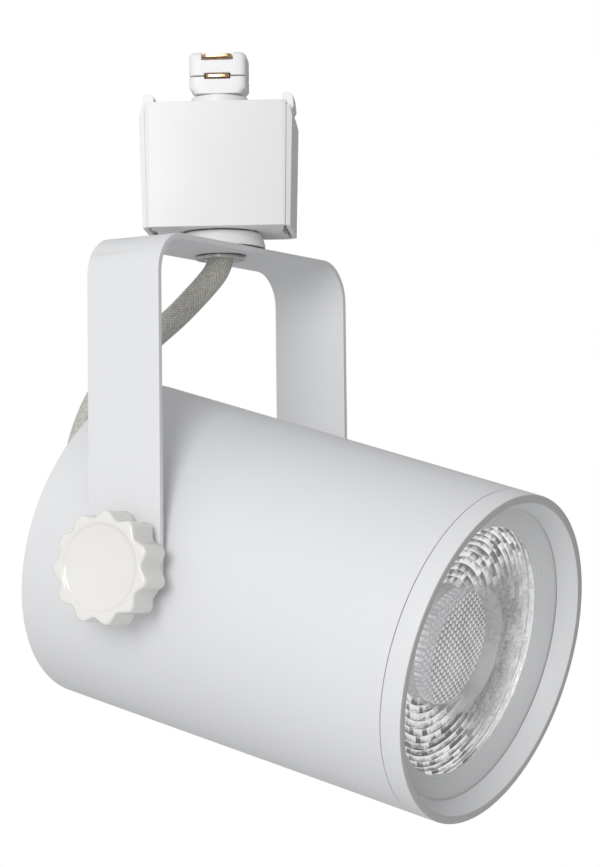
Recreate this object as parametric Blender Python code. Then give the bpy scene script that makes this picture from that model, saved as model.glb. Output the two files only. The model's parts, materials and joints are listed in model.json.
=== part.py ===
"""Track spotlight: a cylindrical LED lamp head held in a bent strip yoke, which swivels under a
twist-in track adapter.

Frame: the origin is the centre of the adapter housing's top face, on the swivel axis. +Z is up,
into the track, +X runs along the track, and -Y is the side with the two line contacts.
All lengths are in metres.
"""

import math

import bmesh
import bpy
from mathutils import Matrix, Vector

MM = 0.001
CLEARANCE = 0.3 * MM          # gap between pieces that seat on each other

# ---- facets round a full turn ---------------------------------------------------------------
BARREL_FACETS = 56
FRONT_FACETS = 44
INSIDE_FACETS = 30
SMALL_FACETS = 24
SCREW_FACETS = 10
LOBE_FACETS = 5                     # for each of the knob's lobes
SPRING_TURN_FACETS = 9
SPRING_WIRE_FACETS = 4
OPTIC_FLARE_STEPS = 5               # along the beam, for the optic and for its holder

# ---- rest pose ------------------------------------------------------------------------------
REST_PAN = math.radians(-28.2)      # beam's heading, from the track's direction
REST_TILT = math.radians(16.6)      # beam below the horizontal

# ---- cable ----------------------------------------------------------------------------------
CABLE_RADIUS = 3.0 * MM
CABLE_SPACING = 5.0 * MM
# Route in the yoke's middle plane, as (forwards, up) from the tilt axis: out of the swivel
# tube, back over the barrel's rear edge, and round into the inlet of the rear cover.
CABLE_ROUTE = [(0.0, 79.0), (0.0, 76.0), (-0.2, 73.3), (-1.6, 70.6), (-4.4, 67.8), (-8.3, 64.5),
               (-12.8, 61.0), (-17.6, 57.8), (-24.6, 53.2), (-31.6, 47.6), (-37.0, 40.8),
               (-40.6, 33.3), (-41.8, 28.2), (-40.6, 23.2), (-37.3, 19.4), (-33.0, 17.3),
               (-26.0, 15.4), (-21.6, 14.1)]

# ---- track adapter --------------------------------------------------------------------------
HOUSING_HEIGHT = 29.3 * MM
HOUSING_DEPTH = 26.6 * MM           # across the track
END_LENGTH_TOP = 36.0 * MM          # over the two latches
END_TAPER = 1.6 * MM                # how much shorter it is at the bottom
CORNER_RUN = 2.6 * MM               # corner chamfer, along the track at the top
CORNER_CHAMFER = 1.57 * MM          # the same chamfer, across the track
LATCH_PLATE = 1.1 * MM              # thickness of a latch's outer plate at its top
LATCH_PLATE_FOOT = 0.8 * MM
SIDE_WALL = 3.0 * MM
POCKET_WALL = 1.34 * MM             # between the cavity and a spring's pocket
RIM_WALL = 1.8 * MM                 # round the top plate
HOUSING_FLOOR = 3.0 * MM
CAVITY_CORNER = 1.2 * MM
TOP_PLATE = 1.6 * MM
TOP_PLATE_CORNER = 1.1 * MM
END_SLOT_HEIGHT = 4.5 * MM          # dark slot between housing and latch, seen from below
END_SLOT_WALL = 2.3 * MM

# ---- latches --------------------------------------------------------------------------------
TAB_HEIGHT = 3.1 * MM               # how far the tab enters the track
TAB_LENGTH = 2.5 * MM
TAB_SETBACK = 0.4 * MM              # tab's outer face, in from the latch's outer face
TAB_HALF_DEPTH = 5.4 * MM
TAB_CHAMFER = 0.5 * MM
LATCH_TOP = 1.0 * MM                # plate's top edge below the housing's top
LATCH_CHAMFER = 2.4 * MM
LATCH_CHAMFER_RUN = 0.7 * MM
TONGUE_DROP = 12.0 * MM             # tongue's lower end below the housing's top
TONGUE_LAP = 0.4 * MM               # how far the tongue sinks into the plate
LUG_HEIGHT = 2.5 * MM
LUG_HALF_DEPTH = 1.4 * MM
SPRING_RADIUS = 1.1 * MM
SPRING_WIRE = 0.36 * MM
SPRING_TURNS = 5
SPRING_LENGTH = 9.0 * MM
SPRING_SETBACK = 1.5 * MM           # spring's axis, in from the tab's inner face

# ---- contact post ---------------------------------------------------------------------------
POST_RADIUS = 6.7 * MM
POST_FLAT = 1.0 * MM                # cut from front and back, so that it enters the track's slot
POST_CORNER = 1.5 * MM
POST_BASE_HEIGHT = 2.6 * MM
POST_NECK_HEIGHT = 0.7 * MM
POST_NECK_INSET = 0.5 * MM
POST_FOOT_INSET = 1.3 * MM
POST_FOOT_RISE = 1.3 * MM
POST_PARTING = 7.2 * MM
POST_HEIGHT = 13.0 * MM
POST_CROWN = 1.2 * MM               # radius of its rounded top edge
POST_FLANGE = 1.4 * MM
POST_FLANGE_SHARE = 0.415           # of the room between the post and the cavity's end wall
POST_BORE_RADIUS = 2.6 * MM
POST_BORE_ROOF = 1.2 * MM
CONTACT_THICKNESS = 0.8 * MM
CONTACT_CORNER = 1.0 * MM
CONTACT_PROUD = 0.5 * MM
CONTACT_REACH = 3.2 * MM            # into the post
UPPER_CONTACT_HALF_WIDTH = 3.4 * MM
LOWER_CONTACT_HALF_WIDTH = 2.8 * MM
UPPER_NOTCH_HEIGHT = 1.9 * MM
GROUND_HALF_WIDTH = 2.2 * MM
GROUND_HEIGHT = 3.2 * MM
GROUND_SUNK = 1.0 * MM

# ---- swivel ---------------------------------------------------------------------------------
CABLE_PLAY = 0.5 * MM               # round the cable in the swivel tube
TUBE_WALL = 1.1 * MM
TUBE_FLANGE_REACH = 1.4 * MM
TUBE_FLANGE = 0.8 * MM
TUBE_MOUTH = 0.8 * MM               # chamfer that keeps the sleeve from chafing
TUBE_ABOVE_FLOOR = 5.0 * MM
WASHER_THICKNESS = 0.7 * MM
SWIVEL_WASHER_REACH = 2.8 * MM
SWIVEL_NUT_WALL = 1.4 * MM
SWIVEL_NUT_HEIGHT = 2.6 * MM
STOP_OFFSET = 2.7 * MM              # tube's hole to the middle of the stop groove
STOP_WIDTH = 1.8 * MM
STOP_HEIGHT = 1.3 * MM
COLLAR_HEIGHT = 3.45 * MM
COLLAR_RIM = 1.2 * MM               # outside the stop
COLLAR_FLARE = 0.8 * MM
COLLAR_LIP = 0.5 * MM
COLLAR_FOOT = 0.7 * MM

# ---- lamp head, along the beam from the tilt axis -------------------------------------------
BARREL_RADIUS = 38.0 * MM
BARREL_WALL = 1.6 * MM
BARREL_REAR = 29.9 * MM
FRONT = 74.6 * MM
EDGE_CHAMFER = 0.25 * MM
BEZEL_LENGTH = 5.0 * MM
BEZEL_LIP = 1.2 * MM
BEZEL_DEPTH = 4.2 * MM              # front edge to the retaining ring
BEZEL_SKIRT = 6.0 * MM
BEZEL_SKIRT_WALL = 1.5 * MM
RING_LAP = 0.6 * MM                 # how far the ring goes under the bezel
RING_WIDTH = 4.9 * MM
RING_FALL = 2.1 * MM                # how far the ring's face slopes inwards
RING_EDGE = 0.7 * MM
OPTIC_FLANGE = 1.8 * MM
OPTIC_FLANGE_INSET = 0.4 * MM       # from the ring's outside
OPTIC_NECK_RADIUS = 8.6 * MM
OPTIC_MOUTH_LAP = 0.6 * MM          # widest flare, outside the ring's opening
OPTIC_DEPTH = 21.0 * MM
OPTIC_BELLY = 0.86                  # exponent of the flare: under 1 bellies outwards
OPTIC_WELL_RADIUS = 14.6 * MM
OPTIC_WELL_DEPTH = 3.6 * MM
OPTIC_WELL_TAPER = 0.4 * MM
OPTIC_DISC_MARGIN = 1.2 * MM        # round the domed disc at the bottom of the well
OPTIC_DISC_RISE = 0.9 * MM
HOLDER_WALL = 1.2 * MM
HOLDER_RIM_INSET = 1.0 * MM
COVER_INSET = 0.6 * MM
COVER_THICKNESS = 2.0 * MM
COVER_EDGE = 0.4 * MM
COVER_SCREW_INSET = 6.4 * MM        # screw circle, in from the bore
COVER_SCREWS = 3
INLET_HEIGHT = 7.4 * MM             # cable inlet above the beam's axis
GROMMET_WALL = 1.1 * MM
GROMMET_REACH = 1.5 * MM            # flange, outside the inlet
GROMMET_NOSE = 2.6 * MM
GROMMET_FLANGE = 1.2 * MM
SCREW_SHANK = 1.2 * MM
SCREW_HEAD = 2.4 * MM
SCREW_HEAD_HEIGHT = 1.1 * MM
SCREW_LENGTH = 4.0 * MM             # shank inside the cover
SINK_PLATE = 5.0 * MM
SINK_CORE_RADIUS = 10.0 * MM
SINK_FINS = 16
SINK_FIN = 1.3 * MM
SINK_FIN_GAP = 2.4 * MM             # fin tips to the barrel
SINK_NUT_GAP = 6.3 * MM             # fins to the nut plates
LED_BOARD = 19.0 * MM
LED_BOARD_THICKNESS = 1.0 * MM
LED_RADIUS = 5.6 * MM
LED_HEIGHT = 0.7 * MM
LED_EDGE = 0.3 * MM
LED_OPENING_MARGIN = 1.2 * MM
LED_OPENING_FLARE = 1.6 * MM
LED_HOLDER_RADIUS = 17.0 * MM
LED_HOLDER_HEIGHT = 3.4 * MM
LED_HOLDER_EDGE = 0.6 * MM
LED_SCREW_OFFSET = 13.2 * MM
LED_SCREW_HEAD = 2.2 * MM
LED_SCREW_SUNK = 1.5 * MM
DRIVER_LEVEL = 9.0 * MM             # board's underside below the beam's axis
DRIVER_BOARD = 1.6 * MM
DRIVER_SIDE_GAP = 15.4 * MM         # board's edges to the barrel's bore, at the axis
DRIVER_REAR_GAP = 3.0 * MM
DRIVER_FRONT_GAP = 2.0 * MM
TRANSFORMER_LENGTH = 14.0 * MM
TRANSFORMER_WIDTH = 15.0 * MM
TRANSFORMER_HEIGHT = 12.0 * MM
TRANSFORMER_SETBACK = 3.0 * MM
BOARD_MARGIN = 2.0 * MM
CAPACITOR_RADIUS = 5.0 * MM
CAPACITOR_HEIGHT = 12.4 * MM
CAPACITOR_SETBACK = 10.0 * MM
CAPACITOR_OFFSET = 9.0 * MM
TERMINAL_LENGTH = 7.0 * MM
TERMINAL_HALF_WIDTH = 7.0 * MM
TERMINAL_HEIGHT = 6.0 * MM

# ---- yoke -----------------------------------------------------------------------------------
ARM_GAP = 1.35 * MM                 # between the barrel and each arm
YOKE_STRIP = 19.5 * MM
YOKE_THICKNESS = 1.3 * MM
YOKE_EDGE = 0.25 * MM
YOKE_BEND = 9.65 * MM               # outer radius
YOKE_BEND_STEPS = 7
PIVOT_DROP = 75.8 * MM              # yoke's top face to the tilt axis

# ---- tilt pivots and knobs ------------------------------------------------------------------
STUD_RADIUS = 2.5 * MM
STUD_TIP = 0.5 * MM
STUD_PAST_PLATE = 1.0 * MM
SPACER_RADIUS = 8.0 * MM
SPACER_LENGTH = 3.5 * MM
NUT_PLATE_LENGTH = 16.0 * MM
NUT_PLATE_HEIGHT = 13.0 * MM
NUT_PLATE_THICKNESS = 2.6 * MM
NUT_PLATE_CORNER = 1.5 * MM
KNOB_WASHER_RADIUS = 6.6 * MM
KNOB_WASHER = 0.8 * MM
KNOB_HUB_RADIUS = 6.0 * MM
KNOB_HUB_RISE = 0.5 * MM            # hub, between the washer and the lobed part
KNOB_THICKNESS = 8.05 * MM
KNOB_LOBES = 11
KNOB_PEAK_RADIUS = 12.9 * MM
KNOB_LOBE_DEPTH = 1.7 * MM
KNOB_EDGE = 1.2 * MM
KNOB_BACK_EDGE = 0.5 * MM
KNOB_RIM = 1.3 * MM                 # from the lobes' valleys in to the dish
KNOB_DISH_DEPTH = 1.3 * MM
KNOB_CROWN_WALL = 1.75 * MM         # between the dish and the stud's end

# ---- levels and stations worked out from the sizes ------------------------------------------
flat_length = END_LENGTH_TOP - 2 * CORNER_RUN
end_length_bottom = END_LENGTH_TOP - END_TAPER
tab_outer = END_LENGTH_TOP / 2 - TAB_SETBACK
tab_inner = tab_outer - TAB_LENGTH
groove_inner = tab_inner - CLEARANCE
spring_centre = tab_inner - SPRING_SETBACK
pocket_inner = spring_centre - SPRING_RADIUS - SPRING_WIRE
cavity_half_length = pocket_inner - POCKET_WALL
cavity_half_depth = HOUSING_DEPTH / 2 - SIDE_WALL
plate_half_length = groove_inner - RIM_WALL - CLEARANCE
plate_half_depth = HOUSING_DEPTH / 2 - RIM_WALL - CLEARANCE
post_half_depth = POST_RADIUS - POST_FLAT
housing_bottom = -HOUSING_HEIGHT
floor_top = housing_bottom + HOUSING_FLOOR
tube_inner_radius = CABLE_RADIUS + CABLE_PLAY
tube_outer_radius = tube_inner_radius + TUBE_WALL
tube_hole = tube_outer_radius + CLEARANCE
stop_radius = tube_hole + STOP_OFFSET
collar_top_radius = stop_radius + STOP_WIDTH / 2 + COLLAR_RIM
collar_bottom_radius = collar_top_radius + COLLAR_FLARE
collar_top = housing_bottom - CLEARANCE
collar_bottom = collar_top - COLLAR_HEIGHT
yoke_top = collar_bottom - CLEARANCE
yoke_under = yoke_top - YOKE_THICKNESS
pivot_level = yoke_top - PIVOT_DROP
arm_inner = BARREL_RADIUS + ARM_GAP
arm_outer = arm_inner + YOKE_THICKNESS
barrel_bore = BARREL_RADIUS - BARREL_WALL
fits_bore = barrel_bore - CLEARANCE
barrel_front = FRONT - BEZEL_LENGTH - CLEARANCE
skirt_inner = fits_bore - BEZEL_SKIRT_WALL
ring_outer = skirt_inner - CLEARANCE
cone_foot = ring_outer - RING_LAP
ring_inner = cone_foot - RING_WIDTH
ring_front = FRONT - BEZEL_DEPTH
ring_back = ring_front - RING_FALL - RING_EDGE
optic_front = ring_back - CLEARANCE
optic_back = optic_front - OPTIC_DEPTH
optic_flange_back = optic_front - OPTIC_FLANGE
optic_flange_radius = ring_outer - OPTIC_FLANGE_INSET
cover_back = -BARREL_REAR + COVER_INSET
cover_front = cover_back + COVER_THICKNESS
inlet_radius = CABLE_RADIUS + GROMMET_WALL + 2 * CLEARANCE
led_holder_front = optic_back - CLEARANCE
sink_front = led_holder_front - LED_HOLDER_HEIGHT - CLEARANCE
sink_back = NUT_PLATE_LENGTH / 2 + SINK_NUT_GAP
stud_hole = STUD_RADIUS + CLEARANCE
knob_back = arm_outer + 2 * CLEARANCE + KNOB_WASHER + KNOB_HUB_RISE
knob_front = knob_back + KNOB_THICKNESS
stud_in_knob = KNOB_THICKNESS - KNOB_DISH_DEPTH - KNOB_CROWN_WALL
knob_valley_radius = KNOB_PEAK_RADIUS - KNOB_LOBE_DEPTH
knob_dish_radius = knob_valley_radius - KNOB_RIM

for leftover in list(bpy.data.objects):
    bpy.data.objects.remove(leftover, do_unlink=True)


# ---- materials ------------------------------------------------------------------------------
def make_material(name, colour, roughness, metallic=0.0, transmission=0.0):
    material = bpy.data.materials.new(name)
    material.use_nodes = True
    shader = material.node_tree.nodes["Principled BSDF"]
    shader.inputs["Base Color"].default_value = (*colour, 1.0)
    shader.inputs["Roughness"].default_value = roughness
    shader.inputs["Metallic"].default_value = metallic
    shader.inputs["Transmission Weight"].default_value = transmission
    return material


powder_coat = make_material("powder_coat", (0.80, 0.81, 0.82), 0.55)
adapter_plastic = make_material("adapter_plastic", (0.86, 0.86, 0.86), 0.4)
collar_plastic = make_material("collar_plastic", (0.83, 0.83, 0.82), 0.2)
knob_plastic = make_material("knob_plastic", (0.84, 0.83, 0.80), 0.22)
black_plastic = make_material("black_plastic", (0.03, 0.03, 0.03), 0.5)
holder_plastic = make_material("holder_plastic", (0.75, 0.75, 0.74), 0.4)
brass = make_material("brass", (0.75, 0.52, 0.25), 0.3, metallic=1.0)
steel = make_material("steel", (0.55, 0.55, 0.56), 0.3, metallic=1.0)
cast_aluminium = make_material("cast_aluminium", (0.60, 0.61, 0.62), 0.45, metallic=1.0)
satin_grey = make_material("satin_grey", (0.45, 0.46, 0.47), 0.35)
rubber = make_material("rubber", (0.72, 0.72, 0.70), 0.65)
sleeve_weave = make_material("sleeve_weave", (0.55, 0.53, 0.48), 0.8)
clear_optic = make_material("clear_optic", (0.95, 0.96, 0.97), 0.05, transmission=0.9)
phosphor = make_material("phosphor", (0.85, 0.65, 0.15), 0.6)
ceramic = make_material("ceramic", (0.85, 0.85, 0.83), 0.5)
board_green = make_material("board_green", (0.05, 0.22, 0.10), 0.5)


# ---- helpers --------------------------------------------------------------------------------
def add_empty(name, parent=None, location=(0, 0, 0), rotation=(0, 0, 0)):
    empty = bpy.data.objects.new(name, None)
    empty.parent = parent
    empty.location = location
    empty.rotation_euler = rotation
    empty.empty_display_size = 10 * MM
    bpy.context.scene.collection.objects.link(empty)
    return empty


def add_object(name, bm, parent, material, smooth=False):
    bmesh.ops.remove_doubles(bm, verts=bm.verts, dist=0.001 * MM)
    bmesh.ops.recalc_face_normals(bm, faces=bm.faces)
    mesh = bpy.data.meshes.new(name)
    bm.to_mesh(mesh)
    bm.free()
    if smooth:
        mesh.shade_smooth()
        mesh.set_sharp_from_angle(angle=math.radians(32))
    piece = bpy.data.objects.new(name, mesh)
    piece.parent = parent
    bpy.context.scene.collection.objects.link(piece)
    if material:
        mesh.materials.append(material)
    return piece


def turned(name, profile, parent, material, axis="Z", steps=SMALL_FACETS, centre=(0, 0, 0)):
    """A turned piece: profile is a closed outline of (radius, height along the axis)."""
    bm = bmesh.new()
    if axis == "Z":
        points = [(radius, 0, height) for radius, height in profile]
        direction = (0, 0, 1)
    elif axis == "X":
        points = [(height, 0, radius) for radius, height in profile]
        direction = (1, 0, 0)
    else:
        points = [(radius, height, 0) for radius, height in profile]
        direction = (0, 1, 0)
    verts = [bm.verts.new(point) for point in points]
    edges = [bm.edges.new((verts[i - 1], verts[i])) for i in range(len(verts))]
    bmesh.ops.spin(bm, geom=verts + edges, cent=(0, 0, 0), axis=direction, dvec=(0, 0, 0),
                   angle=math.tau, steps=steps, use_merge=True)
    bmesh.ops.translate(bm, verts=bm.verts, vec=centre)
    return add_object(name, bm, parent, material, smooth=True)


def loft_rings(bm, rings, closed_ends=True):
    """Quads between rings of points of equal count, with the first and last ring capped."""
    loops = [[bm.verts.new(point) for point in ring] for ring in rings]
    count = len(loops[0])
    for low, high in zip(loops, loops[1:]):
        for i in range(count):
            j = (i + 1) % count
            bm.faces.new((low[i], low[j], high[j], high[i]))
    if closed_ends:
        bm.faces.new(loops[0])
        bm.faces.new(loops[-1])


def lofted(name, rings, parent, material, smooth=False):
    bm = bmesh.new()
    loft_rings(bm, rings)
    return add_object(name, bm, parent, material, smooth)


def prism(name, outline, low, high, parent, material, axis="Z", smooth=False):
    """An outline of (a, b) points, extruded along the axis."""
    place = {"Z": lambda a, b, h: (a, b, h),
             "Y": lambda a, b, h: (a, h, b),
             "X": lambda a, b, h: (h, a, b)}[axis]
    rings = [[place(a, b, height) for a, b in outline] for height in (low, high)]
    return lofted(name, rings, parent, material, smooth)


def block(name, low, high, parent, material):
    outline = [(low[0], low[1]), (high[0], low[1]), (high[0], high[1]), (low[0], high[1])]
    return prism(name, outline, low[2], high[2], parent, material)


def arc(centre, radius, start, end, steps):
    """Points on an arc, angles in degrees."""
    angles = [math.radians(start + (end - start) * i / steps) for i in range(steps + 1)]
    return [(centre[0] + radius * math.cos(a), centre[1] + radius * math.sin(a)) for a in angles]


def rounded_rectangle(half_a, half_b, corner, steps=4):
    points = []
    for quarter, (sign_a, sign_b) in enumerate([(1, 1), (-1, 1), (-1, -1), (1, -1)]):
        centre = (sign_a * (half_a - corner), sign_b * (half_b - corner))
        points += arc(centre, corner, 90 * quarter, 90 * quarter + 90, steps)
    return points


def as_tool(piece):
    piece.hide_render = True
    piece.display_type = "WIRE"
    return piece


def combine(piece, tool, operation):
    modifier = piece.modifiers.new(f"{operation.lower()}_{tool.name}", "BOOLEAN")
    modifier.operation = operation
    modifier.solver = "EXACT"
    modifier.object = as_tool(tool)


def cut(piece, *tools):
    for tool in tools:
        combine(piece, tool, "DIFFERENCE")


def fuse(piece, *tools):
    for tool in tools:
        combine(piece, tool, "UNION")


def cut_hole(piece, name, radius, low, high, parent, axis="Z", centre=(0, 0, 0),
             steps=SMALL_FACETS):
    profile = [(0, high), (radius, high), (radius, low), (0, low)]
    cut(piece, turned(name, profile, parent, None, axis, steps, centre))


swivel_axis = add_empty("swivel_axis", rotation=(0, 0, REST_PAN))
tilt_axis = add_empty("tilt_axis", swivel_axis, (0, 0, pivot_level), (0, REST_TILT, 0))


# ---- adapter housing ------------------------------------------------------------------------
def end_outline(half_length, chamfer_run):
    """The housing's plan: flat front and back, corners falling back to the end faces."""
    flat = flat_length / 2
    edge = HOUSING_DEPTH / 2 - CORNER_CHAMFER * (half_length - flat) / chamfer_run
    return [(half_length, -edge), (half_length, edge), (flat, HOUSING_DEPTH / 2),
            (-flat, HOUSING_DEPTH / 2), (-half_length, edge), (-half_length, -edge),
            (-flat, -HOUSING_DEPTH / 2), (flat, -HOUSING_DEPTH / 2)]


run_bottom = (end_length_bottom - flat_length) / 2
seam_top = END_LENGTH_TOP / 2 - LATCH_PLATE
seam_bottom = end_length_bottom / 2 - LATCH_PLATE_FOOT
above_housing = TAB_HEIGHT + MM         # how high a cutter reaches to open the top


def make_adapter_housing():
    rings = [[(x, y, level) for x, y in end_outline(half_length - CLEARANCE, run)]
             for half_length, run, level in ((seam_bottom, run_bottom, housing_bottom),
                                             (seam_top, CORNER_RUN, 0.0))]
    housing = lofted("adapter_housing", rings, None, adapter_plastic)
    cavity = prism("cavity_cutter",
                   rounded_rectangle(cavity_half_length, cavity_half_depth, CAVITY_CORNER),
                   floor_top, above_housing, None, None)
    rebate = prism("rebate_cutter",
                   rounded_rectangle(plate_half_length + CLEARANCE, plate_half_depth + CLEARANCE,
                                     TOP_PLATE_CORNER + CLEARANCE),
                   -TOP_PLATE - CLEARANCE, above_housing, None, None)
    cut(housing, cavity, rebate)
    cut_hole(housing, "housing_tube_hole", tube_hole, housing_bottom - MM, floor_top + MM, None)
    outside = END_LENGTH_TOP / 2 + MM
    for side, name in ((-1, "left"), (1, "right")):
        groove = box_between(f"{name}_groove_cutter", side, groove_inner, outside,
                             TAB_HALF_DEPTH + CLEARANCE, housing_bottom - MM, above_housing)
        pocket = box_between(f"{name}_pocket_cutter", side, pocket_inner, groove_inner + MM,
                             LUG_HALF_DEPTH + CLEARANCE,
                             -TONGUE_DROP - SPRING_LENGTH - 2 * CLEARANCE,
                             -TONGUE_DROP + LUG_HEIGHT + CLEARANCE)
        slot = box_between(f"{name}_slot_cutter", side, flat_length / 2, outside,
                           HOUSING_DEPTH / 2 - END_SLOT_WALL, housing_bottom - MM,
                           housing_bottom + END_SLOT_HEIGHT)
        cut(housing, groove, pocket, slot)
    cut(housing, make_stop_groove())
    return housing


def box_between(name, side, inner, outer, half_depth, low, high, material=None):
    """A block on one end of the adapter, from inner to outer measured from the axis."""
    near, far = sorted((side * inner, side * outer))
    return block(name, (near, -half_depth, low), (far, half_depth, high), None, material)


def make_stop_groove():
    """Ring groove under the housing for the collar's stop, with one stop left standing in it."""
    half = STOP_WIDTH / 2 + CLEARANCE
    low = housing_bottom - MM
    high = housing_bottom + STOP_HEIGHT + 2 * CLEARANCE
    gap = math.degrees((STOP_WIDTH / 2) / stop_radius)
    outer = arc((0, 0), stop_radius + half, 180 + gap, 540 - gap, INSIDE_FACETS)
    inner = arc((0, 0), stop_radius - half, 540 - gap, 180 + gap, INSIDE_FACETS)
    return prism("stop_groove_cutter", outer + inner, low, high, None, None)


def make_top_plate():
    plate = prism("adapter_top_plate",
                  rounded_rectangle(plate_half_length, plate_half_depth, TOP_PLATE_CORNER),
                  -TOP_PLATE, 0.0, None, adapter_plastic)
    cut_hole(plate, "post_hole_cutter", POST_RADIUS + CLEARANCE, -TOP_PLATE - MM, MM, None)
    return plate


make_adapter_housing()
make_top_plate()


# ---- contact post ---------------------------------------------------------------------------
contact_depth = (-post_half_depth - CONTACT_PROUD, -post_half_depth + CONTACT_REACH)


def contact_blade(name, half_width, level, grow=0.0):
    """A brass blade whose rounded nose stands out of the post's front."""
    nose, back = contact_depth
    nose -= 3 * grow                # the notch is open in front of the blade
    back += grow
    half_width += grow
    corner = CONTACT_CORNER
    outline = [(half_width, back), (-half_width, back)]
    outline += arc((-half_width + corner, nose + corner), corner, 180, 270, 4)
    outline += arc((half_width - corner, nose + corner), corner, 270, 360, 4)
    half = CONTACT_THICKNESS / 2 + grow
    return prism(name, outline, level - half, level + half, None, brass)


def make_contact_post():
    body_outline = rounded_rectangle(POST_RADIUS, post_half_depth, POST_CORNER)
    foot_outline = rounded_rectangle(POST_RADIUS - POST_FOOT_INSET, post_half_depth, POST_CORNER)
    flange_top = -TOP_PLATE - CLEARANCE
    flange_radius = POST_RADIUS + POST_FLANGE_SHARE * (cavity_half_length - POST_RADIUS)
    neck_radius = post_half_depth - POST_NECK_INSET
    neck_top = POST_BASE_HEIGHT + POST_NECK_HEIGHT
    split = POST_PARTING - CLEARANCE / 2
    profile = [(0, neck_top), (neck_radius, neck_top), (neck_radius, POST_BASE_HEIGHT),
               (POST_RADIUS, POST_BASE_HEIGHT), (POST_RADIUS, flange_top),
               (flange_radius, flange_top), (flange_radius, flange_top - POST_FLANGE),
               (0, flange_top - POST_FLANGE)]
    post = turned("contact_post", profile, None, adapter_plastic)
    sunk = 0.2 * MM
    rings = [[(x, y, neck_top - sunk) for x, y in foot_outline],
             [(x, y, neck_top + POST_FOOT_RISE) for x, y in body_outline],
             [(x, y, split) for x, y in body_outline]]
    fuse(post, lofted("post_block", rings, None, None))
    cut_hole(post, "post_bore_cutter", POST_BORE_RADIUS, flange_top - POST_FLANGE - MM,
             split - POST_BORE_ROOF, None, steps=SCREW_FACETS)

    shoulder = POST_HEIGHT - POST_CROWN
    cap_rings = [[(x, y, POST_PARTING + CLEARANCE / 2) for x, y in body_outline],
                 [(x, y, shoulder) for x, y in body_outline]]
    for angle in (30, 60, 90):
        inset = POST_CROWN * (1 - math.cos(math.radians(angle)))
        rise = POST_CROWN * math.sin(math.radians(angle))
        outline = rounded_rectangle(POST_RADIUS - inset, post_half_depth - inset, POST_CORNER)
        cap_rings.append([(x, y, shoulder + rise) for x, y in outline])
    cap = lofted("contact_post_cap", cap_rings, None, adapter_plastic)

    upper_level = POST_HEIGHT - UPPER_NOTCH_HEIGHT / 2
    notch = block("upper_notch_cutter",
                  (-UPPER_CONTACT_HALF_WIDTH - CLEARANCE, -2 * post_half_depth,
                   POST_HEIGHT - UPPER_NOTCH_HEIGHT),
                  (UPPER_CONTACT_HALF_WIDTH + CLEARANCE, contact_depth[1] + CLEARANCE,
                   POST_HEIGHT + MM), None, None)
    cut(cap, notch)
    contact_blade("upper_contact", UPPER_CONTACT_HALF_WIDTH, upper_level)
    contact_blade("lower_contact", LOWER_CONTACT_HALF_WIDTH, POST_PARTING)
    for piece, name in ((cap, "cap"), (post, "post")):
        cut(piece, contact_blade(f"lower_contact_{name}_cutter", LOWER_CONTACT_HALF_WIDTH,
                                 POST_PARTING, CLEARANCE))

    ground_low = neck_top + sunk
    ground_high = ground_low + GROUND_HEIGHT
    ground_back = post_half_depth - GROUND_SUNK
    block("ground_contact", (-GROUND_HALF_WIDTH, ground_back, ground_low),
          (GROUND_HALF_WIDTH, post_half_depth + CONTACT_PROUD, ground_high), None, brass)
    cut(post, block("ground_contact_cutter",
                    (-GROUND_HALF_WIDTH - CLEARANCE, ground_back - CLEARANCE,
                     ground_low - CLEARANCE),
                    (GROUND_HALF_WIDTH + CLEARANCE, 2 * post_half_depth, split + MM), None, None))


make_contact_post()


# ---- latches and their springs --------------------------------------------------------------
def make_latch(side, name):
    """An outer plate that follows the housing's end, with a tongue inside its groove and a tab
    on top that enters the track."""
    outer_top = END_LENGTH_TOP / 2
    plate_top = -LATCH_TOP
    chamfer_level = plate_top - LATCH_CHAMFER

    def along_height(top, bottom, level):
        return top + (bottom - top) * (-level / HOUSING_HEIGHT)

    def seam(level):
        return along_height(seam_top, seam_bottom, level)

    def outside(level):
        return along_height(outer_top, end_length_bottom / 2, level)

    def ring(level, inner, outer):
        run = along_height(CORNER_RUN, run_bottom, level)

        def half_depth(x):
            return HOUSING_DEPTH / 2 - CORNER_CHAMFER * (x - flat_length / 2) / run

        return [(side * inner, -half_depth(inner), level), (side * outer, -half_depth(outer), level),
                (side * outer, half_depth(outer), level), (side * inner, half_depth(inner), level)]

    rings = [ring(housing_bottom, seam(housing_bottom), outside(housing_bottom)),
             ring(chamfer_level, seam(chamfer_level), outside(chamfer_level)),
             ring(plate_top, seam(plate_top), outer_top - LATCH_CHAMFER_RUN)]
    latch = lofted(f"{name}_latch", rings, None, adapter_plastic)
    tongue_outer = seam_top + TONGUE_LAP
    foot_outer = seam(-TONGUE_DROP) + TONGUE_LAP / 2
    shoulder = outer_top - TAB_SETBACK / 4
    profile = [(side * tab_inner, -TONGUE_DROP), (side * foot_outer, -TONGUE_DROP),
               (side * tongue_outer, plate_top - TAB_CHAMFER), (side * shoulder, -LATCH_TOP / 5),
               (side * tab_outer, TAB_HEIGHT - TAB_CHAMFER),
               (side * (tab_outer - TAB_CHAMFER), TAB_HEIGHT),
               (side * (tab_inner + TAB_CHAMFER), TAB_HEIGHT),
               (side * tab_inner, TAB_HEIGHT - TAB_CHAMFER)]
    fuse(latch, prism(f"{name}_tongue", profile, -TAB_HALF_DEPTH, TAB_HALF_DEPTH, None, None, "Y"))
    fuse(latch, box_between(f"{name}_lug", side, spring_centre - SPRING_RADIUS,
                            tab_inner + TAB_CHAMFER, LUG_HALF_DEPTH, -TONGUE_DROP,
                            -TONGUE_DROP + LUG_HEIGHT))


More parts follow.
